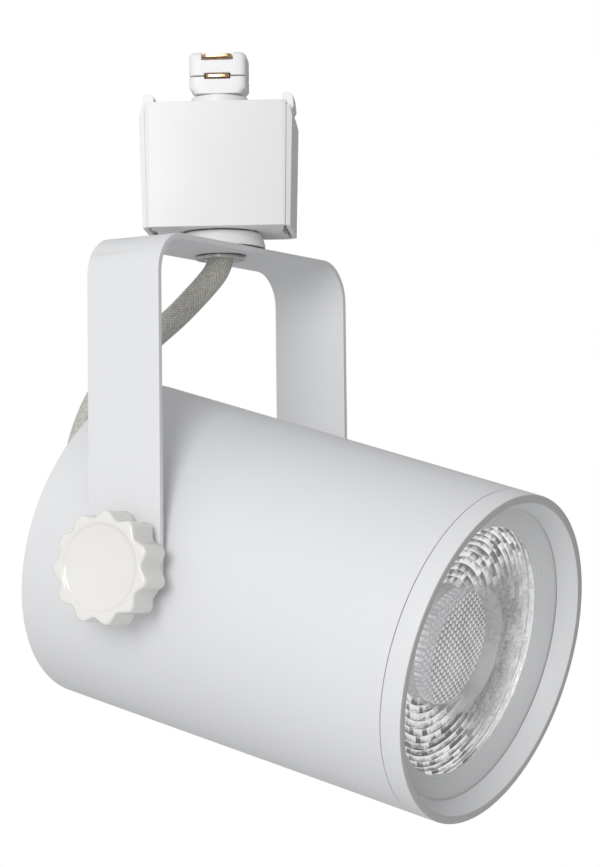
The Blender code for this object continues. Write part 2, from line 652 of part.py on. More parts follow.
def make_spring(side, name):
    """Round-wire compression spring under the latch's lug."""
    ring_count = SPRING_TURNS * SPRING_TURN_FACETS
    wire_steps = SPRING_WIRE_FACETS
    top = -TONGUE_DROP - CLEARANCE - SPRING_WIRE / 2
    height = SPRING_LENGTH - SPRING_WIRE - CLEARANCE
    rise = height / (math.tau * SPRING_TURNS)
    rings = []
    for i in range(ring_count + 1):
        angle = math.tau * SPRING_TURNS * i / ring_count
        out = Vector((math.cos(angle), math.sin(angle), 0))
        along = Vector((-math.sin(angle) * SPRING_RADIUS, math.cos(angle) * SPRING_RADIUS, rise))
        across = out.cross(along.normalized())
        middle = out * SPRING_RADIUS + Vector((side * spring_centre, 0, top - height + rise * angle))
        rings.append([middle + SPRING_WIRE / 2 * (out * math.cos(a) + across * math.sin(a))
                      for a in (math.tau * k / wire_steps for k in range(wire_steps))])
    lofted(f"{name}_latch_spring", rings, None, steel, smooth=True)


for latch_side, latch_name in ((-1, "left"), (1, "right")):
    make_latch(latch_side, latch_name)
    make_spring(latch_side, latch_name)


# ---- swivel ---------------------------------------------------------------------------------
def make_swivel():
    profile = [(tube_hole, collar_top), (collar_top_radius - COLLAR_LIP, collar_top),
               (collar_top_radius, collar_top - COLLAR_LIP),
               (collar_bottom_radius - COLLAR_FLARE / 4, collar_bottom + 2 * COLLAR_FOOT),
               (collar_bottom_radius, collar_bottom + COLLAR_FOOT),
               (collar_bottom_radius, collar_bottom), (tube_hole, collar_bottom)]
    collar = turned("swivel_collar", profile, swivel_axis, collar_plastic, steps=INSIDE_FACETS)
    half = STOP_WIDTH / 2
    fuse(collar, block("collar_stop",
                       (stop_radius - half, -half, collar_top - MM),
                       (stop_radius + half, half, collar_top + CLEARANCE + STOP_HEIGHT),
                       swivel_axis, None))

    flange_top = yoke_under - CLEARANCE
    flange_low = flange_top - TUBE_FLANGE
    flange_radius = tube_outer_radius + TUBE_FLANGE_REACH
    tube_top = floor_top + TUBE_ABOVE_FLOOR
    profile = [(tube_outer_radius, tube_top), (tube_outer_radius, flange_top),
               (flange_radius, flange_top), (flange_radius, flange_low + EDGE_CHAMFER),
               (flange_radius - EDGE_CHAMFER, flange_low),
               (tube_inner_radius + TUBE_MOUTH, flange_low),
               (tube_inner_radius, flange_low + TUBE_MOUTH), (tube_inner_radius, tube_top)]
    turned("swivel_tube", profile, swivel_axis, steel)

    washer_low = floor_top + CLEARANCE
    washer_top = washer_low + WASHER_THICKNESS
    washer_radius = tube_outer_radius + SWIVEL_WASHER_REACH
    profile = [(tube_hole, washer_top), (washer_radius, washer_top), (washer_radius, washer_low),
               (tube_hole, washer_low)]
    turned("swivel_washer", profile, swivel_axis, steel)

    nut_low = washer_top + CLEARANCE
    nut_top = nut_low + SWIVEL_NUT_HEIGHT
    corner = (tube_outer_radius + SWIVEL_NUT_WALL) / math.cos(math.radians(30))
    nut = prism("swivel_nut", arc((0, 0), corner, 0, 300, 5), nut_low, nut_top, swivel_axis, steel)
    cut_hole(nut, "swivel_nut_bore", tube_hole, nut_low - MM, nut_top + MM, swivel_axis)


make_swivel()


# ---- yoke -----------------------------------------------------------------------------------
def make_yoke():
    """A strip folded over the head. Each station gives the strip's middle, the direction out
    of its face, and its half width, from the near arm's round end over to the far arm's."""
    half_strip = YOKE_STRIP / 2
    bend_middle = YOKE_BEND - YOKE_THICKNESS / 2
    stations = []
    for angle in (86, 75, 60, 45, 30, 15, 0):
        below = half_strip * math.sin(math.radians(angle))
        width = half_strip * math.cos(math.radians(angle))
        stations.append((-arm_outer + YOKE_THICKNESS / 2, -below, (-1, 0), width))
    bend_y = arm_outer - YOKE_BEND
    bend_z = PIVOT_DROP - YOKE_BEND
    for step in range(YOKE_BEND_STEPS + 1):
        angle = math.radians(180 - 90 * step / YOKE_BEND_STEPS)
        out = (math.cos(angle), math.sin(angle))
        stations.append((-bend_y + bend_middle * out[0], bend_z + bend_middle * out[1], out,
                         half_strip))
    stations += [(-y, z, (-out[0], out[1]), width) for y, z, out, width in reversed(stations)]
    half = YOKE_THICKNESS / 2
    rings = []
    for y, z, out, width in stations:
        outer = (y + out[0] * half, z + out[1] * half + pivot_level)
        inner = (y - out[0] * half, z - out[1] * half + pivot_level)
        rings.append([(-width, *outer), (width, *outer), (width, *inner), (-width, *inner)])
    yoke = lofted("yoke", rings, swivel_axis, powder_coat, smooth=True)
    rounding = yoke.modifiers.new("edge_rounding", "BEVEL")
    rounding.width = YOKE_EDGE
    rounding.segments = 1
    rounding.limit_method = "ANGLE"
    rounding.angle_limit = math.radians(50)
    cut_hole(yoke, "yoke_tube_hole", tube_hole, yoke_under - MM, yoke_top + MM, swivel_axis)
    cut_hole(yoke, "yoke_pivot_hole", stud_hole, -arm_outer - MM, arm_outer + MM,
             swivel_axis, "Y", (0, 0, pivot_level))
    return yoke


make_yoke()


# ---- lamp head ------------------------------------------------------------------------------
def make_barrel():
    c = EDGE_CHAMFER
    profile = [(BARREL_RADIUS - c, -BARREL_REAR), (BARREL_RADIUS, -BARREL_REAR + c),
               (BARREL_RADIUS, barrel_front), (barrel_bore, barrel_front),
               (barrel_bore, -BARREL_REAR)]
    barrel = turned("barrel", profile, tilt_axis, powder_coat, "X", BARREL_FACETS)
    cut_hole(barrel, "barrel_pivot_hole", stud_hole, -BARREL_RADIUS - MM, BARREL_RADIUS + MM,
             tilt_axis, "Y")


def make_rear_cover():
    profile = [(0, cover_front), (fits_bore, cover_front), (fits_bore, cover_back + COVER_EDGE),
               (fits_bore - COVER_EDGE, cover_back), (0, cover_back)]
    cover = turned("rear_cover", profile, tilt_axis, powder_coat, "X", FRONT_FACETS)
    cut_hole(cover, "inlet_cutter", inlet_radius, cover_back - MM, cover_front + MM, tilt_axis,
             "X", (0, 0, INLET_HEIGHT))
    circle = barrel_bore - COVER_SCREW_INSET
    head_low = cover_back - SCREW_HEAD_HEIGHT
    tip = cover_front + SCREW_LENGTH
    for number in range(COVER_SCREWS):
        angle = math.radians(30) + math.tau * number / COVER_SCREWS
        centre = (0, circle * math.cos(angle), circle * math.sin(angle))
        cut_hole(cover, f"cover_screw_cutter_{number + 1}", SCREW_SHANK + CLEARANCE,
                 cover_back - MM, cover_front + MM, tilt_axis, "X", centre, SCREW_FACETS)
        profile = [(0, head_low), (SCREW_HEAD - COVER_EDGE, head_low),
                   (SCREW_HEAD, head_low + COVER_EDGE), (SCREW_HEAD, cover_back - CLEARANCE),
                   (SCREW_SHANK, cover_back - CLEARANCE), (SCREW_SHANK, tip), (0, tip)]
        turned(f"cover_screw_{number + 1}", profile, tilt_axis, steel, "X", SCREW_FACETS, centre)

    bore = CABLE_RADIUS + CLEARANCE
    waist = inlet_radius - CLEARANCE
    flange = inlet_radius + GROMMET_REACH
    nose = cover_back - GROMMET_NOSE
    inner_back = cover_front + CLEARANCE
    inner_front = inner_back + GROMMET_FLANGE
    profile = [(bore, nose), ((bore + waist) / 2, nose), (flange, cover_back - GROMMET_FLANGE),
               (flange, cover_back - CLEARANCE), (waist, cover_back - CLEARANCE),
               (waist, inner_back), (flange, inner_back), (flange, inner_front),
               (bore, inner_front)]
    turned("cable_grommet", profile, tilt_axis, rubber, "X", SMALL_FACETS, (0, 0, INLET_HEIGHT))


def make_heat_sink():
    """A plate behind the LED with radial fins round a core, open to the rear."""
    plate_back = sink_front - SINK_PLATE
    profile = [(0, sink_front), (fits_bore, sink_front), (fits_bore, plate_back), (0, plate_back)]
    sink = turned("heat_sink", profile, tilt_axis, cast_aluminium, "X", FRONT_FACETS)
    outline = []
    half = SINK_FIN / 2
    tip_radius = barrel_bore - SINK_FIN_GAP
    root = math.asin(half / SINK_CORE_RADIUS)
    tip = math.asin(half / tip_radius)
    for fin in range(SINK_FINS):
        middle = math.tau * fin / SINK_FINS
        for radius, angle in ((SINK_CORE_RADIUS, middle - root), (tip_radius, middle - tip),
                              (tip_radius, middle + tip), (SINK_CORE_RADIUS, middle + root)):
            outline.append((radius * math.cos(angle), radius * math.sin(angle)))
    fuse(sink, prism("sink_fins", outline, sink_back, plate_back + MM, tilt_axis, None, "X"))


def make_light_source():
    back = sink_front + CLEARANCE
    board_front = back + LED_BOARD_THICKNESS
    half = LED_BOARD / 2
    block("led_board", (back, -half, -half), (board_front, half, half), tilt_axis, ceramic)
    emitter_back = board_front + CLEARANCE
    emitter_front = emitter_back + LED_HEIGHT
    profile = [(0, emitter_back), (0, emitter_front), (LED_RADIUS - LED_EDGE, emitter_front),
               (LED_RADIUS, emitter_front - LED_EDGE), (LED_RADIUS, emitter_back)]
    turned("led_emitter", profile, tilt_axis, phosphor, "X")

    opening = LED_RADIUS + LED_OPENING_MARGIN
    profile = [(opening, board_front + 2 * CLEARANCE),
               (opening + LED_OPENING_FLARE, led_holder_front),
               (LED_HOLDER_RADIUS - LED_HOLDER_EDGE, led_holder_front),
               (LED_HOLDER_RADIUS, led_holder_front - LED_HOLDER_EDGE),
               (LED_HOLDER_RADIUS, back), (opening, back)]
    holder = turned("led_holder", profile, tilt_axis, holder_plastic, "X")
    pocket = half + CLEARANCE
    cut(holder, block("led_pocket_cutter", (back - MM, -pocket, -pocket),
                      (board_front + CLEARANCE, pocket, pocket), tilt_axis, None))
    seat = led_holder_front - LED_SCREW_SUNK
    head_back = seat + CLEARANCE
    head_front = head_back + MM
    for number, side in enumerate((-1, 1)):
        centre = (0, side * LED_SCREW_OFFSET, 0)
        cut_hole(holder, f"holder_screw_cutter_{number + 1}", SCREW_SHANK + CLEARANCE, back - MM,
                 led_holder_front + MM, tilt_axis, "X", centre, SCREW_FACETS)
        cut_hole(holder, f"holder_head_cutter_{number + 1}", LED_SCREW_HEAD + CLEARANCE, seat,
                 led_holder_front + MM, tilt_axis, "X", centre, SCREW_FACETS)
        profile = [(0, head_front), (LED_SCREW_HEAD - LED_EDGE, head_front),
                   (LED_SCREW_HEAD, head_front - LED_EDGE), (LED_SCREW_HEAD, head_back),
                   (SCREW_SHANK, head_back), (SCREW_SHANK, back), (0, back)]
        turned(f"holder_screw_{number + 1}", profile, tilt_axis, steel, "X", SCREW_FACETS, centre)


def optic_cone_radius(station, grow=0.0):
    """The collimator's flared side, bellied outwards between its neck and its flange."""
    share = (station - optic_back) / (optic_flange_back - optic_back)
    spread = ring_inner + OPTIC_MOUTH_LAP - OPTIC_NECK_RADIUS
    return OPTIC_NECK_RADIUS + spread * math.sin(share * math.pi / 2) ** OPTIC_BELLY + grow


def make_optic():
    well_floor = optic_front - OPTIC_WELL_DEPTH
    disc_radius = OPTIC_WELL_RADIUS - OPTIC_DISC_MARGIN
    stations = [optic_back + (optic_flange_back - optic_back) * i / OPTIC_FLARE_STEPS
                for i in range(OPTIC_FLARE_STEPS + 1)]
    profile = [(0, optic_back)]
    profile += [(optic_cone_radius(station), station) for station in stations]
    profile += [(optic_flange_radius, optic_flange_back), (optic_flange_radius, optic_front),
                (OPTIC_WELL_RADIUS, optic_front),
                (OPTIC_WELL_RADIUS - OPTIC_WELL_TAPER, well_floor), (disc_radius, well_floor)]
    for share in (0.7, 0.4):
        profile.append((disc_radius * share, well_floor + OPTIC_DISC_RISE * (1 - share * share)))
    profile.append((0, well_floor + OPTIC_DISC_RISE))
    turned("optic", profile, tilt_axis, clear_optic, "X", INSIDE_FACETS)

    gap = 2 * CLEARANCE
    holder_back = optic_back + gap
    holder_front = optic_flange_back - CLEARANCE
    stations = [holder_back + (holder_front - holder_back) * i / OPTIC_FLARE_STEPS
                for i in range(OPTIC_FLARE_STEPS + 1)]
    inner = [(optic_cone_radius(station, gap), station) for station in stations]
    outer = [(optic_cone_radius(station, gap + HOLDER_WALL), station) for station in stations]
    rim = optic_flange_radius - HOLDER_RIM_INSET
    profile = inner + [(rim, holder_front), (rim, holder_front - HOLDER_WALL)]
    profile += list(reversed(outer[:-1]))
    turned("optic_holder", profile, tilt_axis, holder_plastic, "X", INSIDE_FACETS)


def make_retaining_ring():
    front = ring_front - CLEARANCE
    profile = [(ring_outer, front), (cone_foot, front), (ring_inner, front - RING_FALL),
               (ring_inner, ring_back), (ring_outer, ring_back)]
    turned("retaining_ring", profile, tilt_axis, satin_grey, "X", FRONT_FACETS)


def make_bezel():
    c = EDGE_CHAMFER
    back = FRONT - BEZEL_LENGTH
    profile = [(BARREL_RADIUS, back), (BARREL_RADIUS, FRONT - c), (BARREL_RADIUS - c, FRONT),
               (BARREL_RADIUS - BEZEL_LIP, FRONT), (cone_foot, ring_front + CLEARANCE),
               (cone_foot, ring_front), (skirt_inner, ring_front),
               (skirt_inner, back - BEZEL_SKIRT), (fits_bore, back - BEZEL_SKIRT),
               (fits_bore, back)]
    turned("bezel", profile, tilt_axis, powder_coat, "X", BARREL_FACETS)


def make_driver():
    """LED driver: a board behind the fins, with its tall parts on top."""
    board_under = -DRIVER_LEVEL
    board_top = board_under + DRIVER_BOARD
    seat = board_top + CLEARANCE
    rear = cover_front + DRIVER_REAR_GAP
    front = sink_back - DRIVER_FRONT_GAP
    half = barrel_bore - DRIVER_SIDE_GAP
    block("driver_board", (rear, -half, board_under), (front, half, board_top), tilt_axis,
          board_green)
    transformer_front = front - TRANSFORMER_SETBACK
    transformer_side = -half + BOARD_MARGIN
    block("driver_transformer", (transformer_front - TRANSFORMER_LENGTH, transformer_side, seat),
          (transformer_front, transformer_side + TRANSFORMER_WIDTH, seat + TRANSFORMER_HEIGHT),
          tilt_axis, black_plastic)
    top = seat + CAPACITOR_HEIGHT
    profile = [(0, seat), (CAPACITOR_RADIUS, seat), (CAPACITOR_RADIUS, top - COVER_EDGE),
               (CAPACITOR_RADIUS - COVER_EDGE, top), (0, top)]
    turned("driver_capacitor", profile, tilt_axis, black_plastic, "Z", SMALL_FACETS,
           (front - CAPACITOR_SETBACK, CAPACITOR_OFFSET, 0))
    terminal_rear = rear + MM
    block("terminal_block", (terminal_rear, -TERMINAL_HALF_WIDTH, seat),
          (terminal_rear + TERMINAL_LENGTH, TERMINAL_HALF_WIDTH, seat + TERMINAL_HEIGHT),
          tilt_axis, ceramic)


make_barrel()
make_rear_cover()
make_heat_sink()
make_light_source()
make_optic()
make_retaining_ring()
make_bezel()
make_driver()


# ---- tilt pivots and knobs ------------------------------------------------------------------
def make_spacer(name, axis):
    """A saddle washer: flat towards the arm, hollowed to the barrel's curve on the other side."""
    outer = arm_inner - CLEARANCE
    inner = outer - SPACER_LENGTH
    profile = [(stud_hole, outer), (SPACER_RADIUS, outer), (SPACER_RADIUS, inner),
               (stud_hole, inner)]
    spacer = turned(name, profile, axis, powder_coat)
    radius = BARREL_RADIUS + CLEARANCE
    length = 2 * SPACER_RADIUS
    round_barrel = [(0, length), (radius, length), (radius, -length), (0, -length)]
    cut(spacer, turned(f"{name}_saddle_cutter", round_barrel, tilt_axis, None, "X", BARREL_FACETS))


def make_nut_plate(name, axis):
    half_height = NUT_PLATE_HEIGHT / 2
    outer = math.sqrt(barrel_bore ** 2 - half_height ** 2) - CLEARANCE
    inner = outer - NUT_PLATE_THICKNESS
    outline = rounded_rectangle(NUT_PLATE_LENGTH / 2, half_height, NUT_PLATE_CORNER, 3)
    plate = prism(name, outline, inner, outer, axis, steel)
    cut_hole(plate, f"{name}_bore", stud_hole, inner - MM, outer + MM, axis)
    return inner


def lobed_ring(height, inset=0.0, softness=1.0):
    """The knob's outline at one height: rounded lobes with hollows between them."""
    points = []
    count = KNOB_LOBES * LOBE_FACETS
    swing = KNOB_LOBE_DEPTH / 2
    middle = KNOB_PEAK_RADIUS - swing
    for i in range(count):
        angle = math.tau * i / count
        radius = middle + swing * softness * math.cos(KNOB_LOBES * angle) - inset
        points.append((radius * math.cos(angle), radius * math.sin(angle), height))
    return points


def round_ring(height, radius):
    count = KNOB_LOBES * LOBE_FACETS
    return [(radius * math.cos(math.tau * i / count), radius * math.sin(math.tau * i / count),
             height) for i in range(count)]


def make_knob(name, axis):
    rings = [lobed_ring(knob_back, KNOB_BACK_EDGE), lobed_ring(knob_back + KNOB_BACK_EDGE)]
    for angle in (0, 45, 90):
        turn = math.radians(angle)
        rings.append(lobed_ring(knob_front - KNOB_EDGE * (1 - math.sin(turn)),
                                KNOB_EDGE * (1 - math.cos(turn)), 1.0 - 0.25 * math.sin(turn)))
    dish = [(1.0, 0.0), (0.92, 0.55), (0.78, 1.0), (0.3, 0.75)]
    rings += [round_ring(knob_front - depth * KNOB_DISH_DEPTH, share * knob_dish_radius)
              for share, depth in dish]
    knob = lofted(name, rings, axis, knob_plastic, smooth=True)
    hub_back = knob_back - KNOB_HUB_RISE
    profile = [(0, knob_back + MM), (KNOB_HUB_RADIUS, knob_back + MM),
               (KNOB_HUB_RADIUS, hub_back), (0, hub_back)]
    fuse(knob, turned(f"{name}_hub", profile, axis, None))
    cut_hole(knob, f"{name}_bore", stud_hole, hub_back - MM, knob_back + stud_in_knob + CLEARANCE,
             axis, steps=SCREW_FACETS)


def make_knob_set(side, rotation):
    """One side's washer, knob and stud, on an axis that points outwards."""
    axis = add_empty(f"{side}_knob_axis", tilt_axis, rotation=rotation)
    make_spacer(f"{side}_spacer", axis)
    plate_inner = make_nut_plate(f"{side}_nut_plate", axis)
    low = arm_outer + CLEARANCE
    profile = [(stud_hole, low + KNOB_WASHER), (KNOB_WASHER_RADIUS, low + KNOB_WASHER),
               (KNOB_WASHER_RADIUS, low), (stud_hole, low)]
    turned(f"{side}_washer", profile, axis, steel)
    make_knob(f"{side}_knob", axis)
    stud_low = plate_inner - STUD_PAST_PLATE
    stud_high = knob_back + stud_in_knob
    profile = [(0, stud_high), (STUD_RADIUS, stud_high), (STUD_RADIUS, stud_low + STUD_TIP),
               (STUD_RADIUS - STUD_TIP, stud_low), (0, stud_low)]
    turned(f"{side}_knob_stud", profile, axis, steel, steps=SCREW_FACETS)


make_knob_set("near", (math.radians(90), 0, 0))
make_knob_set("far", (math.radians(-90), 0, 0))


# ---- cable ----------------------------------------------------------------------------------
def smooth_route(points, spacing):
    """Evenly spaced points on a smooth curve through the given ones (Catmull-Rom)."""
    ends = [2 * points[0] - points[1], *points, 2 * points[-1] - points[-2]]
    fine = []
    for a, b, c, d in zip(ends, ends[1:], ends[2:], ends[3:]):
        for i in range(20):
            t = i / 20
            fine.append(0.5 * (2 * b + (c - a) * t + (2 * a - 5 * b + 4 * c - d) * t * t
                               + (3 * b - a - 3 * c + d) * t ** 3))
    fine.append(points[-1])
    travelled = [0.0]
    for a, b in zip(fine, fine[1:]):
        travelled.append(travelled[-1] + (b - a).length)
    count = max(2, round(travelled[-1] / spacing) + 1)
    even = []
    k = 0
    for i in range(count):
        wanted = travelled[-1] * i / (count - 1)
        while k < len(fine) - 2 and travelled[k + 1] < wanted:
            k += 1
        share = (wanted - travelled[k]) / (travelled[k + 1] - travelled[k])
        even.append(fine[k].lerp(fine[k + 1], share))
    return even


def make_cable():
    chosen = [Vector((x * MM, 0, z * MM)) for x, z in CABLE_ROUTE]
    points = smooth_route(chosen, CABLE_SPACING)
    curve = bpy.data.curves.new("lamp_cable", "CURVE")
    curve.dimensions = "3D"
    spline = curve.splines.new("POLY")
    spline.points.add(len(points) - 1)
    for knot, point in zip(spline.points, points):
        knot.co = (*point, 1.0)
    curve.bevel_depth = CABLE_RADIUS
    curve.bevel_resolution = 3
    curve.use_fill_caps = True
    curve.materials.append(sleeve_weave)
    cable = bpy.data.objects.new("lamp_cable", curve)
    cable.parent = swivel_axis
    cable.location = (0, 0, pivot_level)
    bpy.context.scene.collection.objects.link(cable)


make_cable()
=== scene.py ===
import json
import math
import random

import bmesh
import bpy
from mathutils import Matrix, Vector


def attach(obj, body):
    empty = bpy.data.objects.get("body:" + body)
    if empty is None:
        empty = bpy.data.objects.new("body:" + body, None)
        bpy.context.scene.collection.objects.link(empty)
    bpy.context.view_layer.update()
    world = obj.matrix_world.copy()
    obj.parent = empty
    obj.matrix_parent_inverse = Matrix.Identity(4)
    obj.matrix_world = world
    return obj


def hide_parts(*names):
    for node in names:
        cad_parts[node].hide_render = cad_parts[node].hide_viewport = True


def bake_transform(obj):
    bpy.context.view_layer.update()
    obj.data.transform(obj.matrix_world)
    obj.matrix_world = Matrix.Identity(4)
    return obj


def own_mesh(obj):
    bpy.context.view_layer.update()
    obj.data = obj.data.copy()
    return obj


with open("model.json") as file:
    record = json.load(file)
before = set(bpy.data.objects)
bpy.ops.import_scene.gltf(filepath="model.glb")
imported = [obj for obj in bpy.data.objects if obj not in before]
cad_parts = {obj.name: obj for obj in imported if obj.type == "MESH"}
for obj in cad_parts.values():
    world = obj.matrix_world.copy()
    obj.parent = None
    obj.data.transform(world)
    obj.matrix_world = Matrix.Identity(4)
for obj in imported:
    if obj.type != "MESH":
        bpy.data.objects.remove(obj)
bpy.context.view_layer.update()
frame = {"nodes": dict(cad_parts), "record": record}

mm = 0.001
record = frame["record"]
slotOf = {row["node"]: row["material_slot"] for row in record["subparts"]}
bodyOf = {node: body for body, nodes in record["behaviour"]["bodies"].items() for node in nodes}
print("frame loaded:", len(frame["nodes"]), "nodes")

# where the moving groups lie: the yoke turns on Z, the head tilts on the yoke's Y
tiltJoint = next(joint for joint in record["behaviour"]["joints"] if joint["name"] == "tilt")
restTilt = 16.6  # degrees that the beam points below the horizontal
pivot = Vector(tiltJoint["pos_m"])
panTurn = Matrix.Rotation(math.atan2(-tiltJoint["axis"][0], tiltJoint["axis"][1]), 4, "Z")
trackPlace = Matrix.Identity(4)
yokePlace = Matrix.Translation(pivot) @ panTurn
headPlace = yokePlace @ Matrix.Rotation(math.radians(restTilt), 4, "Y")
beamPlace = headPlace @ Matrix.Rotation(math.radians(90), 4, "Y")  # local Z runs along the beam
knobPlaces = {"near": headPlace @ Matrix.Rotation(math.radians(90), 4, "X"),
              "far": headPlace @ Matrix.Rotation(math.radians(-90), 4, "X")}


def reach(node, place):
    # lowest and highest corner of a node, measured in a group's own directions
    toLocal = place.inverted()
    points = [toLocal @ vertex.co for vertex in frame["nodes"][node].data.vertices]
    low = Vector(min(point[i] for point in points) for i in range(3))
    high = Vector(max(point[i] for point in points) for i in range(3))
    return low, high


# camera
cameraSetup = {"place": (0.06545, -0.76109, -0.13191), "heading": 3.553, "lookUp": 4.126,
               "roll": -0.624, "lens": 135.46}


def makeCamera(setup):
    data = bpy.data.cameras.new("productCamera")
    data.sensor_width = 36
    data.lens = setup["lens"]
    camera = bpy.data.objects.new("productCamera", data)
    turn = (Matrix.Rotation(math.radians(setup["heading"]), 4, "Z")
            @ Matrix.Rotation(math.radians(90 + setup["lookUp"]), 4, "X")
            @ Matrix.Rotation(math.radians(setup["roll"]), 4, "Z"))
    camera.matrix_world = Matrix.Translation(setup["place"]) @ turn
    bpy.context.scene.collection.objects.link(camera)
    bpy.context.scene.camera = camera


makeCamera(cameraSetup)
print("camera ready")


# small helpers for shader trees
def addNode(tree, kind, inputs=None, **settings):
    made = tree.nodes.new("ShaderNode" + kind)
    for name, value in settings.items():
        setattr(made, name, value)
    for key, value in (inputs or {}).items():
        if isinstance(value, bpy.types.NodeSocket):
            tree.links.new(value, made.inputs[key])
        else:
            made.inputs[key].default_value = value
    return made


def doMath(tree, operation, *values):
    inputs = dict(enumerate(values))
    return addNode(tree, "Math", inputs, operation=operation).outputs[0]


def mixColours(tree, factor, first, second):
    return addNode(tree, "Mix", {0: factor, 6: first, 7: second}, data_type="RGBA").outputs[2]


def fitRange(tree, value, fromLow, fromHigh, toLow, toHigh):
    inputs = {0: value, 1: fromLow, 2: fromHigh, 3: toLow, 4: toHigh}
    return addNode(tree, "MapRange", inputs).outputs[0]


def mixValues(tree, factor, first, second):
    return addNode(tree, "Mix", {0: factor, 2: first, 3: second}, data_type="FLOAT").outputs[0]


def noise(tree, vector, scale, detail=2.0, roughness=0.5):
    return addNode(tree, "TexNoise", {"Vector": vector, "Scale": scale, "Detail": detail,
                                      "Roughness": roughness}).outputs["Fac"]


def swing(tree, value, amount):
    # how far a noise is from its middle, times an amount
    return doMath(tree, "MULTIPLY", doMath(tree, "SUBTRACT", value, 0.5), amount)


def readUv(tree, name):
    uv = addNode(tree, "UVMap", uv_map=name).outputs[0]
    return addNode(tree, "SeparateXYZ", {0: uv}).outputs


def startGroup(name, inputs, outputs):
    tree = bpy.data.node_groups.new(name, "ShaderNodeTree")
    for label, kind, value in inputs:
        socket = tree.interface.new_socket(name=label, in_out="INPUT",
                                           socket_type="NodeSocket" + kind)
        if value is not None:
            socket.default_value = value
    for label, kind in outputs:
        tree.interface.new_socket(name=label, in_out="OUTPUT", socket_type="NodeSocket" + kind)
    entry = tree.nodes.new("NodeGroupInput").outputs
    leave = tree.nodes.new("NodeGroupOutput").inputs
    return tree, entry, leave


# shared effects, each a group that a material places with its own values
def buildCoatGrain():
    # sprayed or moulded skin: fine pimples and a faint cloudy tone
    tree, entry, leave = startGroup(
        "coatGrain",
        [("Vector", "Vector", None), ("Colour", "Color", (0.8, 0.8, 0.8, 1)),
         ("Grain Size", "Float", 0.4 * mm), ("Cloud Size", "Float", 30 * mm),
         ("Cloud Tone", "Float", 0.03), ("Roughness", "Float", 0.5),
         ("Roughness Spread", "Float", 0.1)],
        [("Colour", "Color"), ("Roughness", "Float"), ("Height", "Float")])
    fine = noise(tree, entry["Vector"], doMath(tree, "DIVIDE", 1.0, entry["Grain Size"]), 2.0, 0.55)
    cloud = noise(tree, entry["Vector"], doMath(tree, "DIVIDE", 1.0, entry["Cloud Size"]), 3.0)
    drift = swing(tree, cloud, entry["Cloud Tone"])
    tone = doMath(tree, "ADD", 1.0, doMath(tree, "MULTIPLY", drift, 2.0))
    tone = doMath(tree, "ADD", tone, swing(tree, fine, entry["Cloud Tone"]))
    shade = addNode(tree, "VectorMath", {0: entry["Colour"], "Scale": tone}, operation="SCALE")
    tree.links.new(shade.outputs[0], leave["Colour"])
    spread = swing(tree, fine, entry["Roughness Spread"])
    tree.links.new(doMath(tree, "ADD", entry["Roughness"], spread), leave["Roughness"])
    tree.links.new(fine, leave["Height"])
    return tree


def buildEdgeTone():
    # thin coat on convex edges: the colour drifts towards the edge tone
    tree, entry, leave = startGroup(
        "edgeTone",
        [("Colour", "Color", (0.8, 0.8, 0.8, 1)), ("Edge Colour", "Color", (0.6, 0.58, 0.56, 1)),
         ("Start", "Float", 0.53), ("End", "Float", 0.62), ("Strength", "Float", 0.4)],
        [("Colour", "Color")])
    pointiness = addNode(tree, "NewGeometry").outputs["Pointiness"]
    edge = fitRange(tree, pointiness, entry["Start"], entry["End"], 0.0, entry["Strength"])
    tree.links.new(mixColours(tree, edge, entry["Colour"], entry["Edge Colour"]), leave["Colour"])
    return tree


def buildTurnedLines():
    # fine circular tool lines, spaced by the distance across them
    tree, entry, leave = startGroup(
        "turnedLines",
        [("Vector", "Vector", None), ("Across", "Float", 0.0), ("Line Pitch", "Float", 0.25 * mm),
         ("Wander", "Float", 0.3)],
        [("Tone", "Float"), ("Height", "Float")])
    across = doMath(tree, "DIVIDE", entry["Across"], entry["Line Pitch"])
    lines = addNode(tree, "TexNoise", {"W": across, "Scale": 1.0, "Detail": 3.0},
                    noise_dimensions="1D").outputs["Fac"]
    drifted = swing(tree, noise(tree, entry["Vector"], 60.0), entry["Wander"])
    tree.links.new(doMath(tree, "ADD", lines, drifted), leave["Tone"])
    tree.links.new(lines, leave["Height"])
    return tree


def buildMetalTone():
    # rolled, cast or plated metal: cloudy tarnish over a fine grain
    tree, entry, leave = startGroup(
        "metalTone",
        [("Vector", "Vector", None), ("Bright", "Color", (0.8, 0.8, 0.8, 1)),
         ("Dull", "Color", (0.5, 0.5, 0.5, 1)), ("Patch Size", "Float", 4 * mm),
         ("Roughness", "Float", 0.3), ("Roughness Spread", "Float", 0.15)],
        [("Colour", "Color"), ("Roughness", "Float"), ("Height", "Float")])
    patch = noise(tree, entry["Vector"], doMath(tree, "DIVIDE", 1.0, entry["Patch Size"]), 5.0, 0.6)
    share = fitRange(tree, patch, 0.38, 0.68, 0.0, 1.0)
    tree.links.new(mixColours(tree, share, entry["Bright"], entry["Dull"]), leave["Colour"])
    spread = doMath(tree, "MULTIPLY", share, entry["Roughness Spread"])
    tree.links.new(doMath(tree, "ADD", entry["Roughness"], spread), leave["Roughness"])
    tree.links.new(patch, leave["Height"])
    return tree


coatGrain = buildCoatGrain()
edgeTone = buildEdgeTone()
turnedLines = buildTurnedLines()
metalTone = buildMetalTone()


def startMaterial(name):
    material = bpy.data.materials.new(name)
    material.use_nodes = True
    tree = material.node_tree
    shader = tree.nodes["Principled BSDF"]
    coords = tree.nodes.new("ShaderNodeTexCoord").outputs["Object"]
    return material, tree, shader, coords


def placeGroup(tree, group, inputs):
    return addNode(tree, "Group", inputs, node_tree=group).outputs


def bumpInto(tree, shader, height, strength, distance):
    bump = addNode(tree, "Bump", {"Height": height, "Strength": strength, "Distance": distance})
    tree.links.new(bump.outputs[0], shader.inputs["Normal"])


